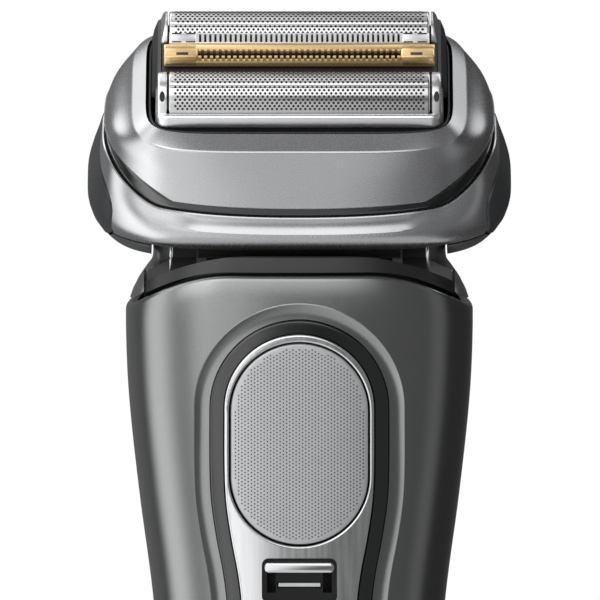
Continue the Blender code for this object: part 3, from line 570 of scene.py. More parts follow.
def makeOvalDotsTree():
    # a honeycomb of small dark marks inside an upright oval, laid onto a surface from the front: painted
    # shade in place of the shade inside real dimples
    graph, given = newTree("ovalDots", {
        "Surface": "Object", "Pitch": "Float", "Radius": "Float", "Straight": "Float",
        "Centre Z": "Float", "Dot": "Float", "Proud": "Float", "Material": "Material"})
    across = given["Pitch"] * math.sqrt(0.75)
    columns = (given["Radius"] / across).math("FLOOR") * 2.0 + 3.0
    rows = ((given["Radius"] + given["Straight"]) / given["Pitch"]).math("FLOOR") * 2.0 + 3.0
    grid = graph.node("GeometryNodeMeshGrid", None, {
        "Size X": (columns - 1.0) * across, "Size Y": (rows - 1.0) * given["Pitch"],
        "Vertices X": columns, "Vertices Y": rows})
    x = graph.node("ShaderNodeSeparateXYZ", None, {"Vector": graph.node("GeometryNodeInputPosition")})
    column = (x / across + 500.25).math("FLOOR")
    stagger = (column.math("MODULO", 2.0) - 0.5) * given["Pitch"] * 0.5
    source = graph.node("ShaderNodeCombineXYZ", None, {
        "X": x, "Y": -0.05, "Z": graph.output(x, "Y") + stagger + given["Centre Z"]})
    lifted = graph.node("GeometryNodeSetPosition", None, {"Geometry": grid, "Position": source})
    high = (graph.output(x, "Z") - given["Centre Z"]).math("ABSOLUTE") - given["Straight"]
    beyond = high.math("MAXIMUM", 0.0)
    outside = (x * x + beyond * beyond).math("SQRT") > given["Radius"]
    inside = graph.node("GeometryNodeDeleteGeometry", {"domain": "POINT"}, {
        "Geometry": lifted, "Selection": outside})
    surface = graph.node("GeometryNodeObjectInfo", None, {"Object": given["Surface"]}, "Geometry")
    hit = graph.node("GeometryNodeRaycast", None, {
        "Target Geometry": surface, "Ray Direction": (0.0, 1.0, 0.0), "Ray Length": 0.1}, "Hit Position")
    facing = graph.output(hit, "Hit Normal")
    kept = graph.node("GeometryNodeStoreNamedAttribute", {"data_type": "FLOAT_VECTOR", "domain": "POINT"}, {
        "Geometry": inside, "Name": "facing", "Value": facing})
    laid = graph.node("GeometryNodeSetPosition", None, {"Geometry": kept, "Position": hit})
    dot = graph.node("GeometryNodeMeshCylinder", None, {
        "Vertices": 6, "Radius": given["Dot"], "Depth": given["Proud"]})
    stored = graph.node("GeometryNodeInputNamedAttribute", {"data_type": "FLOAT_VECTOR"}, {"Name": "facing"})
    turn = graph.node("FunctionNodeAlignRotationToVector", {"axis": "Z"}, {"Vector": stored})
    dots = graph.node("GeometryNodeInstanceOnPoints", None, {
        "Points": laid, "Instance": dot, "Rotation": turn})
    return closeTree(graph, dots, given["Material"])


barRow, archDots, ovalDots = makeRowTree(), makeArchDotsTree(), makeOvalDotsTree()


def bars(name, body, slot, count, step, size, centre, head=False, material=None):
    piece = grow(name, barRow, {
        "Count": count, "Step": Vector(step) * mm, "Size": Vector(size) * mm,
        "Centre": Vector(centre) * mm, "Material": material or materials[slot]}, head)
    return place(piece, body, slot)


print("stage: trees ready")


# Handle

handle = {
    "power": 2.7,
    # height, half width, depth to the front and depth to the back
    "stations": (
        (0.0, 18.6, 11.6, 11.8), (1.2, 19.8, 12.7, 12.9), (4.0, 20.3, 13.3, 13.5),
        (30.0, 20.8, 14.3, 14.3), (50.0, 21.7, 15.2, 15.0), (68.0, 23.2, 16.0, 15.6),
        (84.0, 25.3, 16.6, 16.2), (99.0, 26.9, 17.0, 16.6), (110.0, 27.4, 17.2, 16.8),
        (116.0, 27.2, 17.0, 16.6), (124.0, 25.6, 16.2, 15.8),
    ),
    "points": 176,
    "wall": 1.8,
    "bottom": 4.3,
    "split": 6.0,  # the front shell ends here and the rubber back begins
    "gap": 0.3,
    "top": 120.0,
    "flat": 11.0,  # the top edge is level this far out, then falls away
    "drop": 0.0215,
    "lip": 1.1,  # rounding of the top edge
    "window": (14.2, 20.0, 1.5, 106.0),  # the trimmer's opening: half width, half height, corner, centre
    "release": (79.0, 3.4),  # height and radius of the hole for the trimmer's release button
    "contact": (5.0, 10.0, 1.6),  # place to the side, height and radius of the charging contacts' holes
}


def handlePoint(angle, zOf, inset=0.0):
    c, s = math.cos(angle), math.sin(angle)
    shapeC = math.copysign(abs(c) ** (2 / handle["power"]), c)
    shapeS = math.copysign(abs(s) ** (2 / handle["power"]), s)
    z = zOf
    if callable(zOf):
        z = zOf(shapeC * stationAt(handle["stations"], zOf(0))[0])
        z = zOf(shapeC * stationAt(handle["stations"], z)[0])
    halfWidth, front, back = (v - inset for v in stationAt(handle["stations"], z))
    return (shapeC * halfWidth, shapeS * (back if s > 0 else front), z)


def handleRing(zOf, inset=0.0):
    turn = 2 * math.pi / handle["points"]
    return [handlePoint((i + 0.5) * turn, zOf, inset) for i in range(handle["points"])]


def skinY(x, z, inset=0.0):
    halfWidth, front = stationAt(handle["stations"], z)[:2]
    share = max(0.0, 1 - abs(x / halfWidth) ** handle["power"])
    return -(front - inset) * share ** (1 / handle["power"])


def shellEdge(x):
    return handle["top"] - handle["drop"] * max(0.0, abs(x) - handle["flat"]) ** 2


def tubeMesh():
    # the hollow handle, its rows bending up into the top edge and over its rounded lip
    low, lip, wall = handle["bottom"], handle["lip"], handle["wall"]

    def row(share, down=0.0):
        return lambda x: mix(low, shellEdge(x) - down, share)

    rings = [handleRing(row(i / 44, lip)) for i in range(45)]
    for i in range(1, 8):
        angle = math.radians(90 * i / 7)
        rings.append(handleRing(row(1, lip * (1 - math.sin(angle))), lip * (1 - math.cos(angle))))
    rings += [handleRing(row(share), wall) for share in (1, 0.9, 0.7, 0.5, 0.3, 0)]
    return loft(rings, closed=True)


def halve(bm, y, keepFront):
    side = 1 if keepFront else -1
    cut = bmesh.ops.bisect_plane(
        bm, geom=bm.verts[:] + bm.edges[:] + bm.faces[:], dist=1e-7, plane_co=(0, y * mm, 0),
        plane_no=(0, side, 0), clear_outer=True)
    edges = [e for e in cut["geom_cut"] if isinstance(e, bmesh.types.BMEdge)]
    bmesh.ops.holes_fill(bm, edges=edges, sides=0)
    return bm


def tool(name, bm, head=False):
    return makePiece(name + "Tool", bm, head)


def frontTool(name, outline):
    # an outline in x and z, driven through everything in front of the middle
    return tool(name, prism(outline, "y", -30, 0))


# Front trim: a plate with a round top, a waist and a round bottom

trim = {
    "arcZ": 98.8,
    "bottom": 12.5,
    "stations": (
        (20.0, 8.3), (55.0, 8.7), (67.8, 9.15), (72.8, 9.75), (77.8, 10.7), (84.0, 11.6),
        (89.7, 11.85), (98.8, 11.85),
    ),
    "bezel": 2.15,  # width of the black ring round the plate
    "dish": 4.7,  # the dished surround reaches this far out
    "dishDepth": 0.55,
    "button": (93.2, 10.8, 5.1),  # centre height, radius and half the straight length
    "buttonDepth": 0.25,
    "dotPitch": 0.58,
    "dotRadius": 0.14,
    "display": (33.0, 5.6, 11.0, 2.4),  # centre height, half width, half height and corner
}


def plateOutline(grow=0.0):
    stations = trim["stations"]
    topR = stations[-1][1] + grow
    lowZ, lowR = stations[0][0], stations[0][1] + grow
    lowH = lowZ - trim["bottom"] + grow
    arc = [math.radians(4 * i) for i in range(46)]
    outline = [(topR * math.cos(a), trim["arcZ"] + topR * math.sin(a)) for a in arc]
    side = [mix(trim["arcZ"], lowZ, i / 48) for i in range(1, 48)]
    outline += [(-stationAt(stations, z)[0] - grow, z) for z in side]
    outline += [(-lowR * math.cos(a), lowZ - lowH * math.sin(a)) for a in arc]
    return outline + [(stationAt(stations, z)[0] + grow, z) for z in side[::-1]]


def stadium(grow=0.0):
    centre, radius, straight = trim["button"]
    outline = []
    for side in (1, -1):
        for i in range(41):
            angle = math.pi * i / 40
            outline.append((side * (radius + grow) * math.cos(angle),
                            centre + side * (straight + (radius + grow) * math.sin(angle))))
    return outline


def skinStrip(outlineAt, profile, closed=True):
    # a strip round an outline; its section is given as steps outwards and depths below the skin
    rings = []
    for spread, depth in profile:
        rings.append([(x, skinY(x, z) + depth, z) for x, z in outlineAt(spread)])
    return loft(rings, closed=closed)


def skinSlab(depthOut, depthIn, halfWidth=16.0, low=6.0, high=114.0, columns=56, rows=150):
    # a slab that follows the handle's front between two depths
    bm = bmesh.new()
    sheets = []
    for depth in (depthOut, depthIn):
        sheet = []
        for r in range(rows + 1):
            z = mix(low, high, r / rows)
            xs = [halfWidth * (2 * c / columns - 1) for c in range(columns + 1)]
            sheet.append([bm.verts.new(Vector((x, skinY(x, z) + depth, z)) * mm) for x in xs])
        sheets.append(sheet)
        for r in range(rows):
            for c in range(columns):
                bm.faces.new((sheet[r][c], sheet[r][c + 1], sheet[r + 1][c + 1], sheet[r + 1][c]))
    rims = [s[0] + [row[-1] for row in s[1:-1]] + s[-1][::-1] + [row[0] for row in s[1:-1]][::-1]
            for s in sheets]
    for i in range(len(rims[0])):
        j = (i + 1) % len(rims[0])
        bm.faces.new((rims[0][i], rims[0][j], rims[1][j], rims[1][i]))
    return bm


def roundedEdge(reach, depth, radius, steps=5):
    # a section for skinStrip: flat inside, then rounded over its outer edge
    arc = [math.radians(90 * i / steps) for i in range(steps + 1)]
    return [(reach - radius * (1 - math.sin(a)), depth + radius * (1 - math.cos(a))) for a in arc]


def makeShells():
    front = makePiece("frontShell", halve(tubeMesh(), handle["split"], True))
    carve(front, tool("dish", prism(plateOutline(trim["dish"] - 0.05), "y", -30, -4)))
    place(front, "handle", "gunmetal", "front_shell")
    dish, deep, bezel = trim["dish"], trim["dishDepth"], trim["bezel"] + 0.15
    section = [(dish + 0.25, 0.7), (dish + 0.25, 0.02), (dish, -0.01)]
    for i in range(1, 8):
        share = i / 8
        section.append((mix(dish, bezel, share), deep * (share + 0.35 * math.sin(math.pi * share))))
    section += [(bezel, deep), (bezel, 1.9), (dish, 1.9)]
    place(makePiece("dishedSurround", skinStrip(plateOutline, section)), "handle", "gunmetal")

    rear = makePiece("rearCover", halve(tubeMesh(), handle["split"] + handle["gap"], False))
    halfW, halfH, corner, windowZ = handle["window"]
    releaseZ, releaseR = handle["release"]
    contactX, contactZ, contactR = handle["contact"]
    holes = [roundedRectangle(halfW, halfH, corner, (0, windowZ)), circle(releaseR, (0, releaseZ))]
    holes += [circle(contactR, (side * contactX, contactZ)) for side in (-1, 1)]
    carve(rear, *[tool("rearHole", prism(hole, "y", 8, 30)) for hole in holes])
    place(rear, "handle", "rubber_grip", "rear_cover")


def makeFrontTrim():
    bezel = trim["bezel"]
    edge = roundedEdge(bezel, 0.12, 0.3)
    section = [(0.12, 1.6), (0.12, 0.12)] + edge + [(bezel, 1.6)]
    place(makePiece("frontBezel", skinStrip(plateOutline, section)), "handle", "black_gloss", "front_bezel")

    plate = makePiece("frontPlate", skinSlab(0.0, 1.4))
    displayZ, halfW, halfH, corner = trim["display"]
    carve(plate, frontTool("plate", plateOutline(-0.45)), operation="INTERSECT")
    lockAt = roundedRectangle(lock["halfW"], lock["halfH"], lock["corner"], (0, lock["z"]))
    displayAt = roundedRectangle(halfW, halfH, corner, (0, displayZ))
    carve(plate, frontTool("button", stadium(0.75)), frontTool("lock", lockAt),
          frontTool("display", displayAt))
    place(plate, "handle", "plate_metal", "front_plate")
    # rounded borders complete the plate, outside and round the button
    outer = [(-0.5, 1.4), (-0.5, 0.0)] + roundedEdge(0.0, 0.0, 0.4) + [(0.0, 1.4)]
    place(makePiece("plateBorder", skinStrip(plateOutline, outer)), "handle", "plate_metal")
    inner = [(0.8, 1.4), (0.8, 0.0)] + [(0.6 - g, d) for g, d in roundedEdge(0.3, 0.0, 0.28)] + [(0.3, 1.4)]
    place(makePiece("buttonSurround", skinStrip(stadium, inner)), "handle", "plate_metal")

    centre, radius, straight = trim["button"]
    deep = trim["buttonDepth"]
    section = [(-radius + 0.4, 2.0), (0.0, 2.0)] + roundedEdge(0.0, deep, 0.3)[::-1]
    section += [(-radius * share, deep) for share in (0.1, 0.25, 0.4, 0.55, 0.7, 0.85, 0.96)]
    button = makePiece("powerButton", skinStrip(stadium, section, closed=False))
    place(button, "power_button", "plate_metal", "power_button", material=buttonFace)
    # dark discs laid over the button's face, painted shade standing in for its dimples
    dots = grow("buttonDots", ovalDots, {
        "Surface": button, "Pitch": trim["dotPitch"] * mm, "Radius": (radius - 0.75) * mm,
        "Straight": straight * mm, "Centre Z": centre * mm, "Dot": trim["dotRadius"] * mm,
        "Proud": 0.03 * mm, "Material": dotGrey})
    place(dots, "power_button", "black_matt")

    glassAt = roundedRectangle(halfW - 0.3, halfH - 0.3, corner - 0.3, (0, displayZ))
    glass = makePiece("displayWindow", skinSlab(0.1, 1.3, halfWidth=7, low=20, high=46, columns=14, rows=26))
    carve(glass, frontTool("glass", glassAt), operation="INTERSECT")
    place(glass, "handle", "display_glass", "display_window")


lock = {
    "z": 71.6, "halfW": 5.9, "halfH": 3.55, "corner": 1.1,
    "travel": 3.2,
    "ridgeHalf": 0.82,
    "legX": 4.4,  # the ridge's two legs, and the slots they slide in
    "markDrop": 0.75,  # the mark sits this far below the middle
    "mark": (3.3, 0.3),  # half width and half height
    "groove": (3.5, 0.5),
}


def makeLock():
    face = skinY(0, lock["z"])
    halfW, halfH, z = lock["halfW"] - 0.12, lock["halfH"] - 0.12, lock["z"]
    tray = makePiece("lockTray", prism(
        roundedRectangle(halfW, halfH, lock["corner"] - 0.1, (0, z)), "y", face + 0.85, face + 3.2))
    backing = softBox((-halfW, face + 5.0, z - halfH), (halfW, face + 5.3, z + halfH), 0.1)
    place(makePiece("lockBacking", backing), "handle", "black_matt")
    ridgeZ, markZ = z + lock["halfH"] - 1.45, z - lock["markDrop"]
    legs = (-lock["legX"], lock["legX"])
    wide, tall = lock["groove"]
    cuts = [softBox((-wide, face, markZ - tall), (wide, face + 1.3, markZ + tall), 0.15)]
    slotLow, slotHigh = ridgeZ - lock["travel"] - 0.9, ridgeZ + 0.9
    cuts += [softBox((x - 0.7, face, slotLow), (x + 0.7, face + 6, slotHigh), 0.1) for x in legs]
    carve(tray, *[tool("lockCut", cut) for cut in cuts])
    place(tray, "handle", "black_gloss", "lock_tray")
    wide, tall = lock["mark"]
    mark = softBox((-wide, face + 0.8, markZ - tall), (wide, face + 1.15, markZ + tall), 0.12)
    place(makePiece("lockMark", mark), "handle", "mark_white", "lock_mark")

    rings = []
    for inset, y in ((0.0, 0.5), (0.0, -0.25), (0.06, -0.4), (0.2, -0.5), (0.4, -0.55)):
        outline = roundedRectangle(halfW - 0.3 - inset, lock["ridgeHalf"] - inset, 0.7 - inset, (0, ridgeZ))
        rings.append([(x, face + y, v) for x, v in outline])
    bm = loft(rings)
    for x in legs:
        softBox((x - 0.35, face + 0.3, ridgeZ - 0.5), (x + 0.35, face + 4.5, ridgeZ + 0.5), 0.1, bm)
    place(makePiece("lockRidge", bm), "head_lock", "plate_metal", "lock_slider", material=brightChrome)


# Shoulder, arms and foot

shoulder = {
    "top": 2.8,  # the black cap stands this far above the shell's edge
    "endX": 24.2,
    "plugBottom": 109.6,
    "saddle": 21.4,
    "armX": (20.4, 23.2),
    "postX": (16.3, 20.0),
    "postWay": 5.9,  # half depth of the ways that the posts come up through
    "cableWay": ((-9, -5, 100), (9, 5, 125)),
    "trimmerWay": ((-14.2, 11.8, 100), (14.2, 30, 130)),
    "wall": ((-14.8, 9.8, 112), (14.8, 11.5, 122.6)),  # closes the cap behind the yoke
    "lip": 0.4,  # radius of the cap's rounded edge
    # height, outer x, half depth
    "armStations": (
        (112.0, 27.4, 12.5), (114.0, 27.1, 11.5), (115.3, 26.6, 10.4), (116.2, 26.3, 9.5),
        (117.2, 25.8, 8.2), (118.2, 25.3, 6.9), (119.1, 24.7, 5.7), (120.1, 24.0, 4.8),
        (121.3, 23.2, 4.0), (124.0, 23.1, 3.4), (137.5, 23.1, 3.0), (139.6, 23.1, 2.1),
        (140.45, 23.1, 0.6),
    ),
}


def capEdge(x):
    return shellEdge(x) + shoulder["top"]


def makeShoulder():
    plug = handle["wall"] + 0.4

    def seat(x):
        return shellEdge(x) + handle["gap"]

    rings = [handleRing(shoulder["plugBottom"], plug), handleRing(seat, plug), handleRing(seat, 0.15)]
    lip = shoulder["lip"]
    for degrees in (0, 20, 40, 60, 75, 90):
        a = math.radians(degrees)
        down = lip * (1 - math.sin(a))
        rings.append(handleRing(lambda x, d=down: capEdge(x) - d, 0.3 + lip * (1 - math.cos(a))))
    middleZ = handle["top"] + shoulder["top"] - 1.0
    rings.append([(point[0] * 0.4, point[1] * 0.4, middleZ) for point in rings[-1]])
    cap = makePiece("shoulderCap", loft(rings))
    endX = shoulder["endX"]
    carve(cap, tool("width", softBox((-endX, -30, 90), (endX, 30, 140), 0.01)), operation="INTERSECT")
    ways = [tool("saddle", prism(circle(shoulder["saddle"], (0, pivotZ), 160), "x", -40, 40)),
            tool("cableWay", softBox(*shoulder["cableWay"], 0.5)),
            tool("trimmerWay", softBox(*shoulder["trimmerWay"], 0.3))]
    for side in (-1, 1):
        post = sorted((side * (shoulder["postX"][0] - 0.4), side * (shoulder["postX"][1] + 0.1)))
        depth = shoulder["postWay"]
        ways.append(tool("postWay", softBox((post[0], -depth, 100), (post[1], depth, 130), 0.1)))
    carve(cap, *ways)
    wall = softBox(*shoulder["wall"], 0.3)
    place(makePiece("capWall", wall), "handle", "black_matt")
    place(cap, "handle", "black_gloss", "shoulder_cap", material=capBlack)


def armMesh(side):
    innerX = shoulder["armX"][0]
    stations = shoulder["armStations"]
    rings = []
    heights = [112 + 0.4 * i for i in range(32)] + [125.5, 128, 131, 134, 136.5, 138, 139.2, 140, 140.45]
    for z in heights:
        outerX, halfY = stationAt(stations, z)
        ring = [(side * innerX, -halfY, z)]
        for i in range(25):
            angle = math.radians(-78 + 6.5 * i)
            y = halfY * math.sin(angle) / math.sin(math.radians(78)) * 0.98
            ring.append((side * (innerX + (outerX - innerX) * math.cos(angle) ** 0.45), y, z))
        ring.append((side * innerX, halfY, z))
        rings.append(ring)
    return loft(rings)


def makeArms():
    gap, endX, innerX = handle["gap"], shoulder["endX"], shoulder["armX"][0]
    inside = [18 + 0.5 * i for i in range(13)]
    outside = [25 + 0.5 * i for i in range(7)]
    profile = [(x, capEdge(x) + gap) for x in inside] + [(endX + gap, capEdge(endX) + gap)]
    profile += [(endX + gap, shellEdge(endX) + gap)] + [(x, shellEdge(x) + gap) for x in outside]
    profile += [(28, 100), (18, 100)]
    for side, name in ((-1, "left"), (1, "right")):
        arm = makePiece("arm" + name.title(), armMesh(side))
        footing = tool("footing", prism([(side * x, z) for x, z in profile], "y", -30, 30))
        bore = tool("bore", prism(circle(pinBore, (0, pivotZ)), "x", *sorted((side * 10, side * 30))))
        carve(arm, footing, bore)
        place(arm, "handle", "satin_metal", "arm_cover_" + name, material=armPaint)
        spanX = sorted((side * (endX - 0.05), side * (endX + gap + 0.05)))
        filler = softBox((spanX[0], -3, 114.5), (spanX[1], 3, 119.2), 0.02)
        place(makePiece("armFiller", filler), "handle", "black_matt")
        # a strip of bright chrome down the arm's inner front edge, a painted highlight along that edge
        edgeX = sorted((side * (shoulder["postX"][1] + 0.04), side * (innerX + 0.1)))
        strip = softBox((edgeX[0], -3.9, 117.5), (edgeX[1], -3.2, 123.4), 0.08)
        place(makePiece("armEdge", strip), "handle", "bright_metal", material=brightChrome)


def makeFoot():
    wall, gap = handle["wall"], handle["gap"]
    rings = [handleRing(0.0, 2.2), handleRing(0.0, 0.5), handleRing(0.15, 0.15)]
    rings += [handleRing(z) for z in (0.6, 1.2, 2.0, 3.0, 3.7)]
    rings += [handleRing(4.0, 0.3), handleRing(4.0, wall + gap)]
    rings.append([(x, y, 6.5) for x, y, z in rings[-1]])
    base = makePiece("baseCap", loft(rings))
    carve(base, tool("inlet", prism(roundedRectangle(6.3, 3.6, 2.0, (0, 5.6)), "z", -1, 8)))
    place(base, "handle", "black_matt", "base_cap")


print("stage: handle helpers ready")
makeShells()
makeFrontTrim()
makeLock()
makeShoulder()
makeArms()
makeFoot()
print("stage: handle ready")


# Head. Everything here is in the head's own frame: z is 0 at the rim of the cassette opening.

headShape = {
    "points": 200,
    "opening": (24.1, 14.9, 14.6, 7.0),
    "chamfer": (26.4, 18.0, 17.6, 5.0),
    "chamferDrop": 1.6,
    # share of the way down, half width, front depth, back depth, squareness, height, share of the seam
    "upper": (
        (0.0, 26.4, 18.0, 17.6, 5.0, -1.6, 0.0),
        (0.5, 29.5, 18.7, 18.7, 3.7, -0.8, 0.5),
        (1.0, 30.8, 19.2, 18.8, 3.2, 0.0, 1.0),
    ),
    # height across the front, at the sides, where it starts to climb and ends, how late it climbs
    "upperSeam": (-11.2, -5.2, 20.0, 30.5, 1.0),
    "lowerSeam": (-13.0, -7.4, 22.0, 31.2, 1.5),
    "seamSag": 0.4,  # the seams sit this much lower in the middle of the front
    "seamFall": (-10.0, 5.0, 2.2),  # along the sides, from front to back, they drop by this much
    "band": (30.5, 18.6, 18.3, 3.2),
    # share of the way down, half width, front depth, back depth, squareness, share of the height
    "lower": (
        (0.0, 31.0, 18.9, 18.6, 3.2, 0.0), (0.33, 31.9, 20.2, 19.7, 3.2, 0.33),
        (0.62, 32.9, 20.1, 19.4, 3.2, 0.62), (0.84, 33.35, 19.3, 18.6, 3.3, 0.84),
        (1.0, 32.9, 18.0, 17.4, 3.4, 1.0),
    ),
    "scoop": (15.5, 20.0, 0.33),  # full inside, gone beyond, and where its lip runs
    "under": (
        (-20.5, 32.9, 18.0, 17.4, 3.4), (-24.0, 30.0, 14.6, 14.4, 4.2),
        (-26.5, 27.2, 9.0, 9.8, 4.5), (-28.0, 23.0, 4.0, 5.5, 4.0),
    ),
    "floor": -9.0,  # the upper housing's walls reach down to here
    "innerWall": (25.4, 16.1, 16.1, 4.6),
    # a dark sleeve inside the opening, painted shade of the gap round the cassette
    "gapShadeSleeve": (23.7, 14.4, 14.4, 8.0),
    "pad": (-17.0, 13.6, 6.4),  # centre height, half depth and half height
    "padX": (24.0, 40.0),  # reach of the tools that cut the pads' windows
    "tilt": 18.0,
    "swingX": (15.9, 23.3),  # slots that the arms sweep through
    "bosses": ((13.4, 15.6, -27.2), (23.9, 26.0, -26.3)),  # from x, to x and foot
}


def seam(name, x, y):
    front, side, start, end, late = headShape[name]
    near, far, fall = headShape["seamFall"]
    side -= fall * step(near, far, y)
    front -= headShape["seamSag"] * (1 - step(0, start, abs(x)))
    return front + (side - front) * min(max((abs(x) - start) / (end - start), 0.0), 1.0) ** late


def headRing(size, zOf, inset=0.0):
    halfWidth, front, back, power = size
    ring = []
    for i in range(headShape["points"]):
        angle = 2 * math.pi * (i + 0.5) / headShape["points"]
        c, s = math.cos(angle), math.sin(angle)
        x = math.copysign(abs(c) ** (2 / power), c) * (halfWidth - inset)
        y = math.copysign(abs(s) ** (2 / power), s) * ((back if s > 0 else front) - inset)
        ring.append((x, y, zOf(x, y) if callable(zOf) else zOf))
    return ring


def upperRing(share, inset=0.0, lift=0.0):
    *size, height, follow = stationAt(headShape["upper"], share)
    return headRing(size, lambda x, y: height + follow * seam("upperSeam", x, y) + lift, inset)


def makeUpper():
    opening, chamfer, drop = headShape["opening"], headShape["chamfer"], headShape["chamferDrop"]
    rings = [headRing(opening, headShape["floor"]), headRing(opening, -0.5)]
    for share in (0.03, 0.12, 0.5, 0.9, 0.95):
        size = [mix(a, b, share) for a, b in zip(opening, chamfer)]
        rings.append(headRing(size, -drop * share))
    shares = [0.015, 0.03] + [0.1 * i for i in range(1, 10)] + [0.97]
    rings += [upperRing(share) for share in shares]
    rings += [upperRing(1, lift=0.25), upperRing(1, 0.06, 0.1), upperRing(1, 0.2), upperRing(1, 1.2)]
    rings.append(headRing(headShape["innerWall"], headShape["floor"]))
    place(makePiece("upperHousing", loft(rings, closed=True), True), "head", "satin_metal", "upper_housing")
    # a dark sleeve sits just inside the opening, painted shade of the deep gap round the cassette
    section = ((0.02, -4.0), (0.02, -0.35), (0.1, -0.25), (0.3, -0.25), (0.4, -0.4), (0.4, -4.0))
    gapShadeSleeve = loft([headRing(headShape["gapShadeSleeve"], z, inset) for inset, z in section], closed=True)
    place(makePiece("openingLiner", gapShadeSleeve, True), "head", "black_matt")


def makeBand():
    size, gap = headShape["band"], handle["gap"]

    def row(share, inset=0.0):
        def height(x, y):
            return mix(seam("lowerSeam", x, y) + gap, seam("upperSeam", x, y) - gap, share)

        return headRing(size, height, inset)

    rings = [row(0, 1.1), row(0, 0.15), row(0.04, 0.03), row(0.1)]
    rings += [row(share) for share in (0.3, 0.5, 0.7, 0.9)]
    rings += [row(0.96, 0.03), row(1, 0.15), row(1, 1.1)]
    place(makePiece("accentBand", loft(rings, closed=True), True), "head", "black_gloss", "accent_band")


def scooped(ring, share, front):
    # a cove cut across the front, ending in a crisp lip
    full, gone, lip = headShape["scoop"]
    edge, lipEdge = headShape["lower"][0][2], stationAt(headShape["lower"], lip)[1]
    shallow = mix(edge, lipEdge, (share / lip) ** 2) / front
    return [(x, y * mix(1, shallow, 1 - step(full, gone, abs(x))) if y < 0 else y, z) for x, y, z in ring]


def lowerRings(inset=0.0):
    bottom = headShape["under"][0][0] + 0.3
    stations = headShape["lower"]
    rings = [headRing(stations[0][1:5], lambda x, y: seam("lowerSeam", x, y), inset + 0.15)]
    lip = headShape["scoop"][-1]
    shares = [0.02] + [lip * i / 12 for i in range(1, 13)] + [mix(lip, 1, i / 14) for i in range(1, 15)]
    for share in shares:
        *size, down = stationAt(stations, share)
        ring = headRing(size, lambda x, y, t=down: mix(seam("lowerSeam", x, y), bottom, t), inset)
        rings.append(scooped(ring, share, size[1]) if inset == 0 and share < lip else ring)
    return rings


def underRings(inset=0.0):
    rings = []
    count = 22 if inset == 0 else 6
    low, high = headShape["under"][-1][0], headShape["under"][0][0]
    for i in range(count + 1):
        z = mix(high, low, i / count)
        size = stationAt(headShape["under"][::-1], z)
        drop = 0.0 if i == 0 else inset * 0.8
        rings.append(headRing(size, z + drop, inset + 0.1 if i == 0 else inset))
    return rings


def padOutline(spread, count=96):
    centre, halfY, halfZ = headShape["pad"]
    outline = []
    for i in range(count):
        angle = 2 * math.pi * i / count
        c, s = math.cos(angle), math.sin(angle)
        outline.append((math.copysign(abs(c) ** 0.8, c) * (halfY + spread),
                        centre + math.copysign(abs(s) ** 0.8, s) * (halfZ + spread)))
    return outline


def padTool(side, spread):
    xs = sorted(side * x for x in headShape["padX"])
    return tool("pad", prism(padOutline(spread), "x", *xs), True)


def makeLower():
    lower = makePiece("lowerHousing", loft(lowerRings() + lowerRings(1.6)[::-1], closed=True), True)
    carve(lower, padTool(-1, handle["gap"]), padTool(1, handle["gap"]), sharp=28)
    place(lower, "head", "satin_metal", "lower_housing")

    under = makePiece("undersideCover", loft(underRings()[::-1] + underRings(1.6)), True)
    pivot = -rimAbovePivot
    lean = math.degrees(headLean)
    sweep = [mix(lean - headShape["tilt"] - 17, lean + headShape["tilt"] + 17, i / 12) for i in range(13)]
    swing = [(4.6, pivot + 2)]
    swing += [(-30 * math.sin(math.radians(a)), pivot - 30 * math.cos(math.radians(a))) for a in sweep]
    swing.append((-4.6, pivot + 5))
    bosses, cuts = [], [padTool(side, handle["gap"]) for side in (-1, 1)]
    for side in (-1, 1):
        for *xs, foot in headShape["bosses"]:
            outline = [(-4, foot), (4, foot), (4, pivot), (2.4, pivot + 3), (-2.4, pivot + 3), (-4, pivot)]
            bosses.append(tool("boss", prism(outline, "x", *sorted(side * x for x in xs)), True))
        bore = prism(circle(pinBore, (0, pivot)), "x", *sorted((side * 10, side * 30)))
        slot = prism(swing, "x", *sorted(side * x for x in headShape["swingX"]))
        cuts += [tool("bore", bore, True), tool("swing", slot, True)]
    carve(under, *bosses, operation="UNION")
    carve(under, *cuts)
    place(under, "head", "under_metal", "underside_cover")


def makePads():
    for side, name in ((-1, "left"), (1, "right")):
        body = lowerRings(-0.1)[1:] + underRings(-0.1)[:12]
        inner = lowerRings(1.5)[1:] + underRings(1.5)[:3]
        pad = makePiece("pad" + name.title(), loft(body + inner[::-1], closed=True), True)
        carve(pad, padTool(side, 0.0), operation="INTERSECT")
        place(pad, "release_" + name, "black_gloss", "release_button_" + name, material=padBlack)


# Cassette

cassette = {
    "halfX": 22.6,
    "halfY": 13.3,
    "corner": 2.0,
    "foilY": 8.6,
    "foilZ": 2.8,
    "foilR": 3.8,
    "foilHalf": 20.5,
    "foilBottom": -0.6,
    "sheet": 0.3,
    "groove": (28.0, 5.0, 0.16),  # angle from the top, width in degrees and depth
    "holePitch": 0.74,
    "holeRadius": 0.225,
    "holeColumns": 53,
    "holeBands": ((34.0, 88.0, 8), (-34.0, -88.0, 8), (-21.0, 21.0, 6)),  # from, to and rows, in degrees
    "reveal": 0.82,  # the trim's and the body's walls are this thick
    "trimTop": (1.3, 0.8, 2.1),  # where its rounding starts, the rounding's radius, and its inner edge
    "bodyTop": -0.4,
    "bodyBottom": (-6.6, -8.0),
    # x, and the inset from the foils' outline, of each section of a post
    "post": ((20.75, 0.15), (20.85, 0.0), (21.8, 0.0), (22.05, 0.06), (22.2, 0.2), (22.27, 0.45)),
    "rearPostTaper": 0.26,
    "hollow": (21.5, 57.0, 0.42, 0.85),  # x, degrees down from the top, half width and half length
    # x, front, back and top of each section of a dark cheek
    "cheek": (
        (21.75, -4.6, 12.4, 3.9), (22.3, -4.7, 12.3, 3.6), (22.9, -4.4, 11.9, 2.2), (23.25, -4.0, 11.4, 0.4),
    ),
}


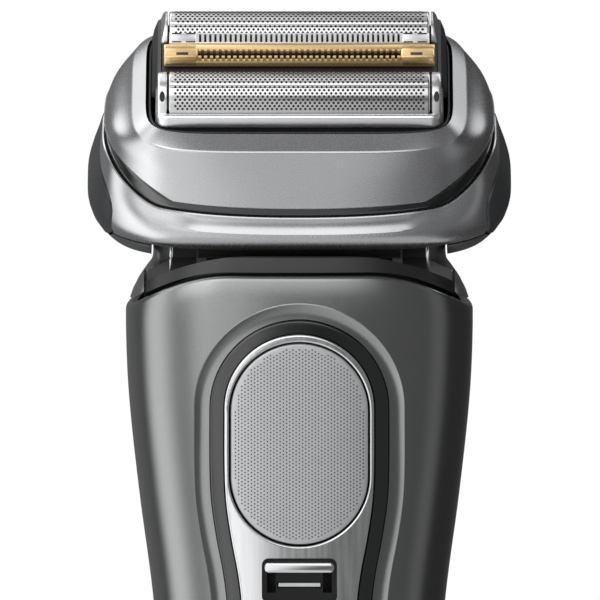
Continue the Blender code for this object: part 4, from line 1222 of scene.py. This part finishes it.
def archSection(centreY, radius, bottom, grooves=False, steps=72):
    section = [(centreY + radius, bottom)]
    for i in range(steps + 1):
        degrees = 90 - 180 * i / steps  # from the back over the top to the front
        deep = 0.0
        if grooves:
            angle, width, depth = cassette["groove"]
            deep = sum(depth * max(0.0, 1 - ((degrees - a) / width) ** 2) for a in (angle, -angle))
        a, reach = math.radians(degrees), radius - deep
        section.append((centreY + reach * math.sin(a), cassette["foilZ"] + reach * math.cos(a)))
    return section + [(centreY - radius, bottom)]


def makeFoils():
    half, radius, sheet = cassette["foilHalf"], cassette["foilR"], cassette["sheet"]
    bottom = cassette["foilBottom"]
    for name, side in (("front", -1), ("rear", 1)):
        centreY = side * cassette["foilY"]
        rings = []
        ends = ((0.0, 0.3), (0.06, 0.12), (0.2, 0.03), (0.4, 0.0))
        places = [(-half + a, r) for a, r in ends] + [(half - a, r) for a, r in ends[::-1]]
        for x, inset in places:
            outer = archSection(centreY, radius - inset, bottom, True)
            inner = archSection(centreY, radius - sheet - 0.1, bottom)
            rings.append([(x, y, z) for y, z in outer + inner[::-1]])
        foil = makePiece(name + "Foil", loft(rings), True, 40)
        place(foil, name + "_foil", "steel", name + "_foil")
        # the foils' holes are dark discs, painted shade rather than real openings
        for start, end, rows in cassette["holeBands"]:
            holes = grow(name + "Holes", archDots, {
                "Columns": cassette["holeColumns"], "Rows": rows, "Pitch": cassette["holePitch"] * mm,
                "Radius": (radius + 0.005) * mm, "Start": math.radians(start), "End": math.radians(end),
                "Hole": cassette["holeRadius"] * mm, "Proud": 0.03 * mm,
                "Centre": Vector((0, centreY, cassette["foilZ"])) * mm, "Material": holeDark}, True)
            place(holes, name + "_foil", "black_matt")
        rails = bmesh.new()
        low, high = -2.3, -0.9
        for y in (centreY - 3.5, centreY + 3.5):
            softBox((-20.4, y - 0.3, low), (20.4, y + 0.3, high), 0.1, rails)
        for x in (-19.9, 19.9):
            softBox((x - 0.5, centreY - 3.2, low), (x + 0.5, centreY + 3.2, high), 0.1, rails)
        foilFrame = makePiece(name + "FoilFrame", rails, True)
        place(foilFrame, name + "_foil", "satin_metal", name + "_foil_frame")


def postMesh(centreY, side, bm, taper=0.0):
    # the outside of a post may slope inwards as it rises
    rings = []
    first, last = cassette["post"][0][0], cassette["post"][-1][0]
    for x, inset in cassette["post"]:
        slope = taper * (x - first) / (last - first)
        arch = archSection(centreY, cassette["foilR"] - inset, -0.2, steps=28)
        rings.append([(side * (x - slope * max(0.0, z - 2.2)), y, z) for y, z in arch])
    return loft(rings, bm=bm)


def makeCassette():
    halfX, halfY, corner = cassette["halfX"], cassette["halfY"], cassette["corner"]

    def ring(inset, z):
        outline = roundedRectangle(halfX - inset, halfY - inset, max(corner - inset, 0.3), steps=10)
        return [(x, y, z) for x, y in outline]

    reveal = cassette["reveal"]
    start, radius, inner = cassette["trimTop"]
    rings = [ring(reveal, -0.1), ring(0.12, -0.1), ring(0.0, 0.05), ring(0.0, start)]
    for a in (0.3, 0.6, 0.9, 1.2, 1.5):
        rings.append(ring(radius * (1 - math.cos(a)), start + radius * math.sin(a)))
    rings.append(ring(reveal, inner))
    bm = loft(rings, closed=True)
    for side in (-1, 1):
        postMesh(-cassette["foilY"], side, bm)
        postMesh(cassette["foilY"], side, bm, cassette["rearPostTaper"])
    place(makePiece("cassetteTrim", bm, True), "cassette", "steel", "cassette_trim", material=brightFrame)

    # a dark oval plug on the front of each front post, painted shade standing in for a hollow
    hollowShade = bmesh.new()
    hollowX, lean, halfW, halfL = cassette["hollow"]
    lean = math.radians(lean)
    outwards = Vector((0, -math.sin(lean), math.cos(lean)))
    along = Vector((0, -math.cos(lean), -math.sin(lean))) * halfL
    across = Vector((halfW, 0, 0))
    for side in (-1, 1):
        rings = []
        for rise in (-0.3, 0.03):
            spot = Vector((side * hollowX, -cassette["foilY"], cassette["foilZ"]))
            spot += outwards * (cassette["foilR"] + rise)
            rings.append([spot + across * u + along * v for u, v in circle(1, sides=24)])
        loft(rings, bm=hollowShade)
    place(makePiece("postRecess", hollowShade, True), "cassette", "black_matt")

    top, (ledge, bottom) = cassette["bodyTop"], cassette["bodyBottom"]
    body = [ring(0.3, bottom), ring(0.3, top), ring(reveal, top), ring(reveal, ledge)]
    body.append([(x * 0.93, y * 0.88, z) for x, y, z in ring(reveal, ledge)])
    body.append([(x, y, bottom) for x, y, z in body[-1]])
    bm = loft(body, closed=True)
    place(makePiece("cassetteBody", bm, True), "cassette", "black_matt", "cassette_body")

    cheeks = bmesh.new()
    for side in (-1, 1):
        rings = []
        for x, near, far, high in cassette["cheek"]:
            outline = ((near, -0.3), (far, -0.3), (far, high * 0.8), (far - 0.6, high),
                       (near + 0.6, high), (near, high * 0.8))
            rings.append([(side * x, y, z) for y, z in outline])
        loft(rings, bm=cheeks)
    place(makePiece("cassetteCheeks", cheeks, True), "cassette", "black_matt")


# Middle trimmers: a gold guard in front and a slotted comb behind it

middle = {
    "bottom": 4.5,
    "gold": (21.3, -2.9, 0.5, 6.6, 15.9),  # half length, front, back, top, and where the solid ends start
    "goldTop": (-0.95, 5.9),  # the top plate's front and underside
    "goldFront": (-2.25, 5.75),  # the front plate's back and top
    "comb": (20.5, 0.9, 3.9, 6.5, 16.15),
    "combRails": ((0.9, 1.3), (3.55, 3.9)),
    # count, pitch, width, low y and z, high y and z
    "goldTopTeeth": (35, 0.92, 0.42, (-1.4, 6.1), (-0.8, 6.56)),
    "goldFrontTeeth": (35, 0.92, 0.5, (-2.88, 5.6), (-2.35, 6.3)),
    "combTeeth": (41, 0.8, 0.45, (1.15, 5.88), (3.65, 6.48)),
    # the gold guard's dark bars are painted shade where each solid end has a slot
    "goldDash": (18.4, 0.95, -2.6, -1.85),  # x, half length, front and back
    "combDash": ((17.1, 19.3), (1.25, 3.6), 0.75, 0.17),  # places in x and y, half length and half width
}


def addTeeth(name, slot, material=None):
    count, pitch, width, low, high = middle[name]
    size = (width, high[0] - low[0], high[1] - low[1])
    centre = (0, (high[0] + low[0]) / 2, (high[1] + low[1]) / 2)
    bars(name, "middle_trimmer", slot, count, (pitch, 0, 0), size, centre, True, material)


def addDash(name, x, half, low, high, rise):
    dash = softBox((x - half, low, 6.3), (x + half, high, 6.5 + rise), 0.06 if name == "goldDash" else 0.04)
    place(makePiece(name, dash, True), "middle_trimmer", "black_matt")


def makeMiddle():
    bottom = middle["bottom"]
    half, near, far, top, end = middle["gold"]
    gold = bmesh.new()
    softBox((-half, middle["goldTop"][0], middle["goldTop"][1]), (half, far, top), 0.18, gold)
    softBox((-half, near, bottom), (half, middle["goldFront"][0], middle["goldFront"][1]), 0.25, gold)
    for xs in ((-half, -end), (end, half)):
        softBox((xs[0], near, bottom), (xs[1], far, top), 0.35, gold, 3)
    place(makePiece("goldGuard", gold, True), "middle_trimmer", "gold_trim", "gold_guard")
    addTeeth("goldTopTeeth", "gold_trim")
    addTeeth("goldFrontTeeth", "gold_trim")

    half, near, far, top, end = middle["comb"]
    comb = bmesh.new()
    for low, high in middle["combRails"]:
        softBox((-half, low, bottom), (half, high, top), 0.15, comb)
    for xs in ((-half, -end), (end, half)):
        softBox((xs[0], near, bottom), (xs[1], far, top), 0.25, comb, 3)
    place(makePiece("combGuard", comb, True), "middle_trimmer", "steel", "comb_guard", material=brightFrame)
    addTeeth("combTeeth", "steel", brightFrame)

    placesX, placesY, combHalf, combWide = middle["combDash"]
    goldX, goldHalf, goldNear, goldFar = middle["goldDash"]
    for side in (-1, 1):
        for x in placesX:
            for y in placesY:
                addDash("combDash", side * x, combHalf, y - combWide, y + combWide, 0.04)
        # a dark bar on each gold end, painted shade of the slot there
        addDash("goldDash", side * goldX, goldHalf, goldNear, goldFar, 0.14)
    dark = softBox((-16.4, -2.1, 4.4), (16.4, 3.7, 5.3), 0.1)
    place(makePiece("middleFloor", dark, True), "middle_trimmer", "black_matt")


makeUpper()
makeBand()
makeLower()
makePads()
print("stage: head ready")
makeFoils()
makeCassette()
makeMiddle()
print("stage: cassette ready")


# Rear trimmer

rearTrimmer = {
    "carriage": ((-13.6, 12.2, 87.0), (13.6, 15.0, 113.0)),
    "comb": ((-12.5, 13.7, 113.3), (12.5, 14.5, 116.4)),
    "blade": ((-11.4, 12.9, 113.3), (11.4, 13.4, 116.5)),
    # radius and y of each ring of the release button, out to its dished face
    "release": ((3.0, 13.0), (3.0, 15.8), (2.9, 16.1), (2.7, 16.25), (2.4, 16.3), (1.6, 16.1), (0.6, 16.0)),
}


def makeRearTrimmer():
    carriage = softBox(*rearTrimmer["carriage"], 0.6, segments=4)
    place(makePiece("trimmerCarriage", carriage), "rear_trimmer", "black_matt", "trimmer_carriage")
    bars("thumbRibs", "rear_trimmer", "black_matt", 5, (0, 0, 2.6), (16, 1.2, 1.0), (0, 15.1, 96.2))
    comb = softBox(*rearTrimmer["comb"], 0.15)
    place(makePiece("trimmerComb", comb), "rear_trimmer", "steel", "trimmer_comb")
    bars("combTips", "rear_trimmer", "steel", 16, (1.6, 0, 0), (0.8, 0.7, 2.2), (0, 14.1, 117.2))
    blade = softBox(*rearTrimmer["blade"], 0.1)
    place(makePiece("trimmerBlade", blade), "rear_trimmer_blade", "steel", "trimmer_blade")
    bars("bladeTips", "rear_trimmer_blade", "steel", 19, (1.2, 0, 0), (0.6, 0.45, 1.8), (0, 13.15, 117.1))
    releaseZ = handle["release"][0]
    rings = []
    for radius, y in rearTrimmer["release"]:
        rings.append([(x, y, z) for x, z in circle(radius, (0, releaseZ), 64)])
    release = makePiece("trimmerRelease", loft(rings))
    place(release, "rear_trimmer_release", "satin_metal", "trimmer_release")


makeRearTrimmer()

# The pieces inside keep their CAD shape and take the same materials by slot.
for node in frame["nodes"].values():
    for i, old in enumerate(node.data.materials):
        node.data.materials[i] = materials[old.name.split(".")[0]]
print("stage: inside pieces painted")
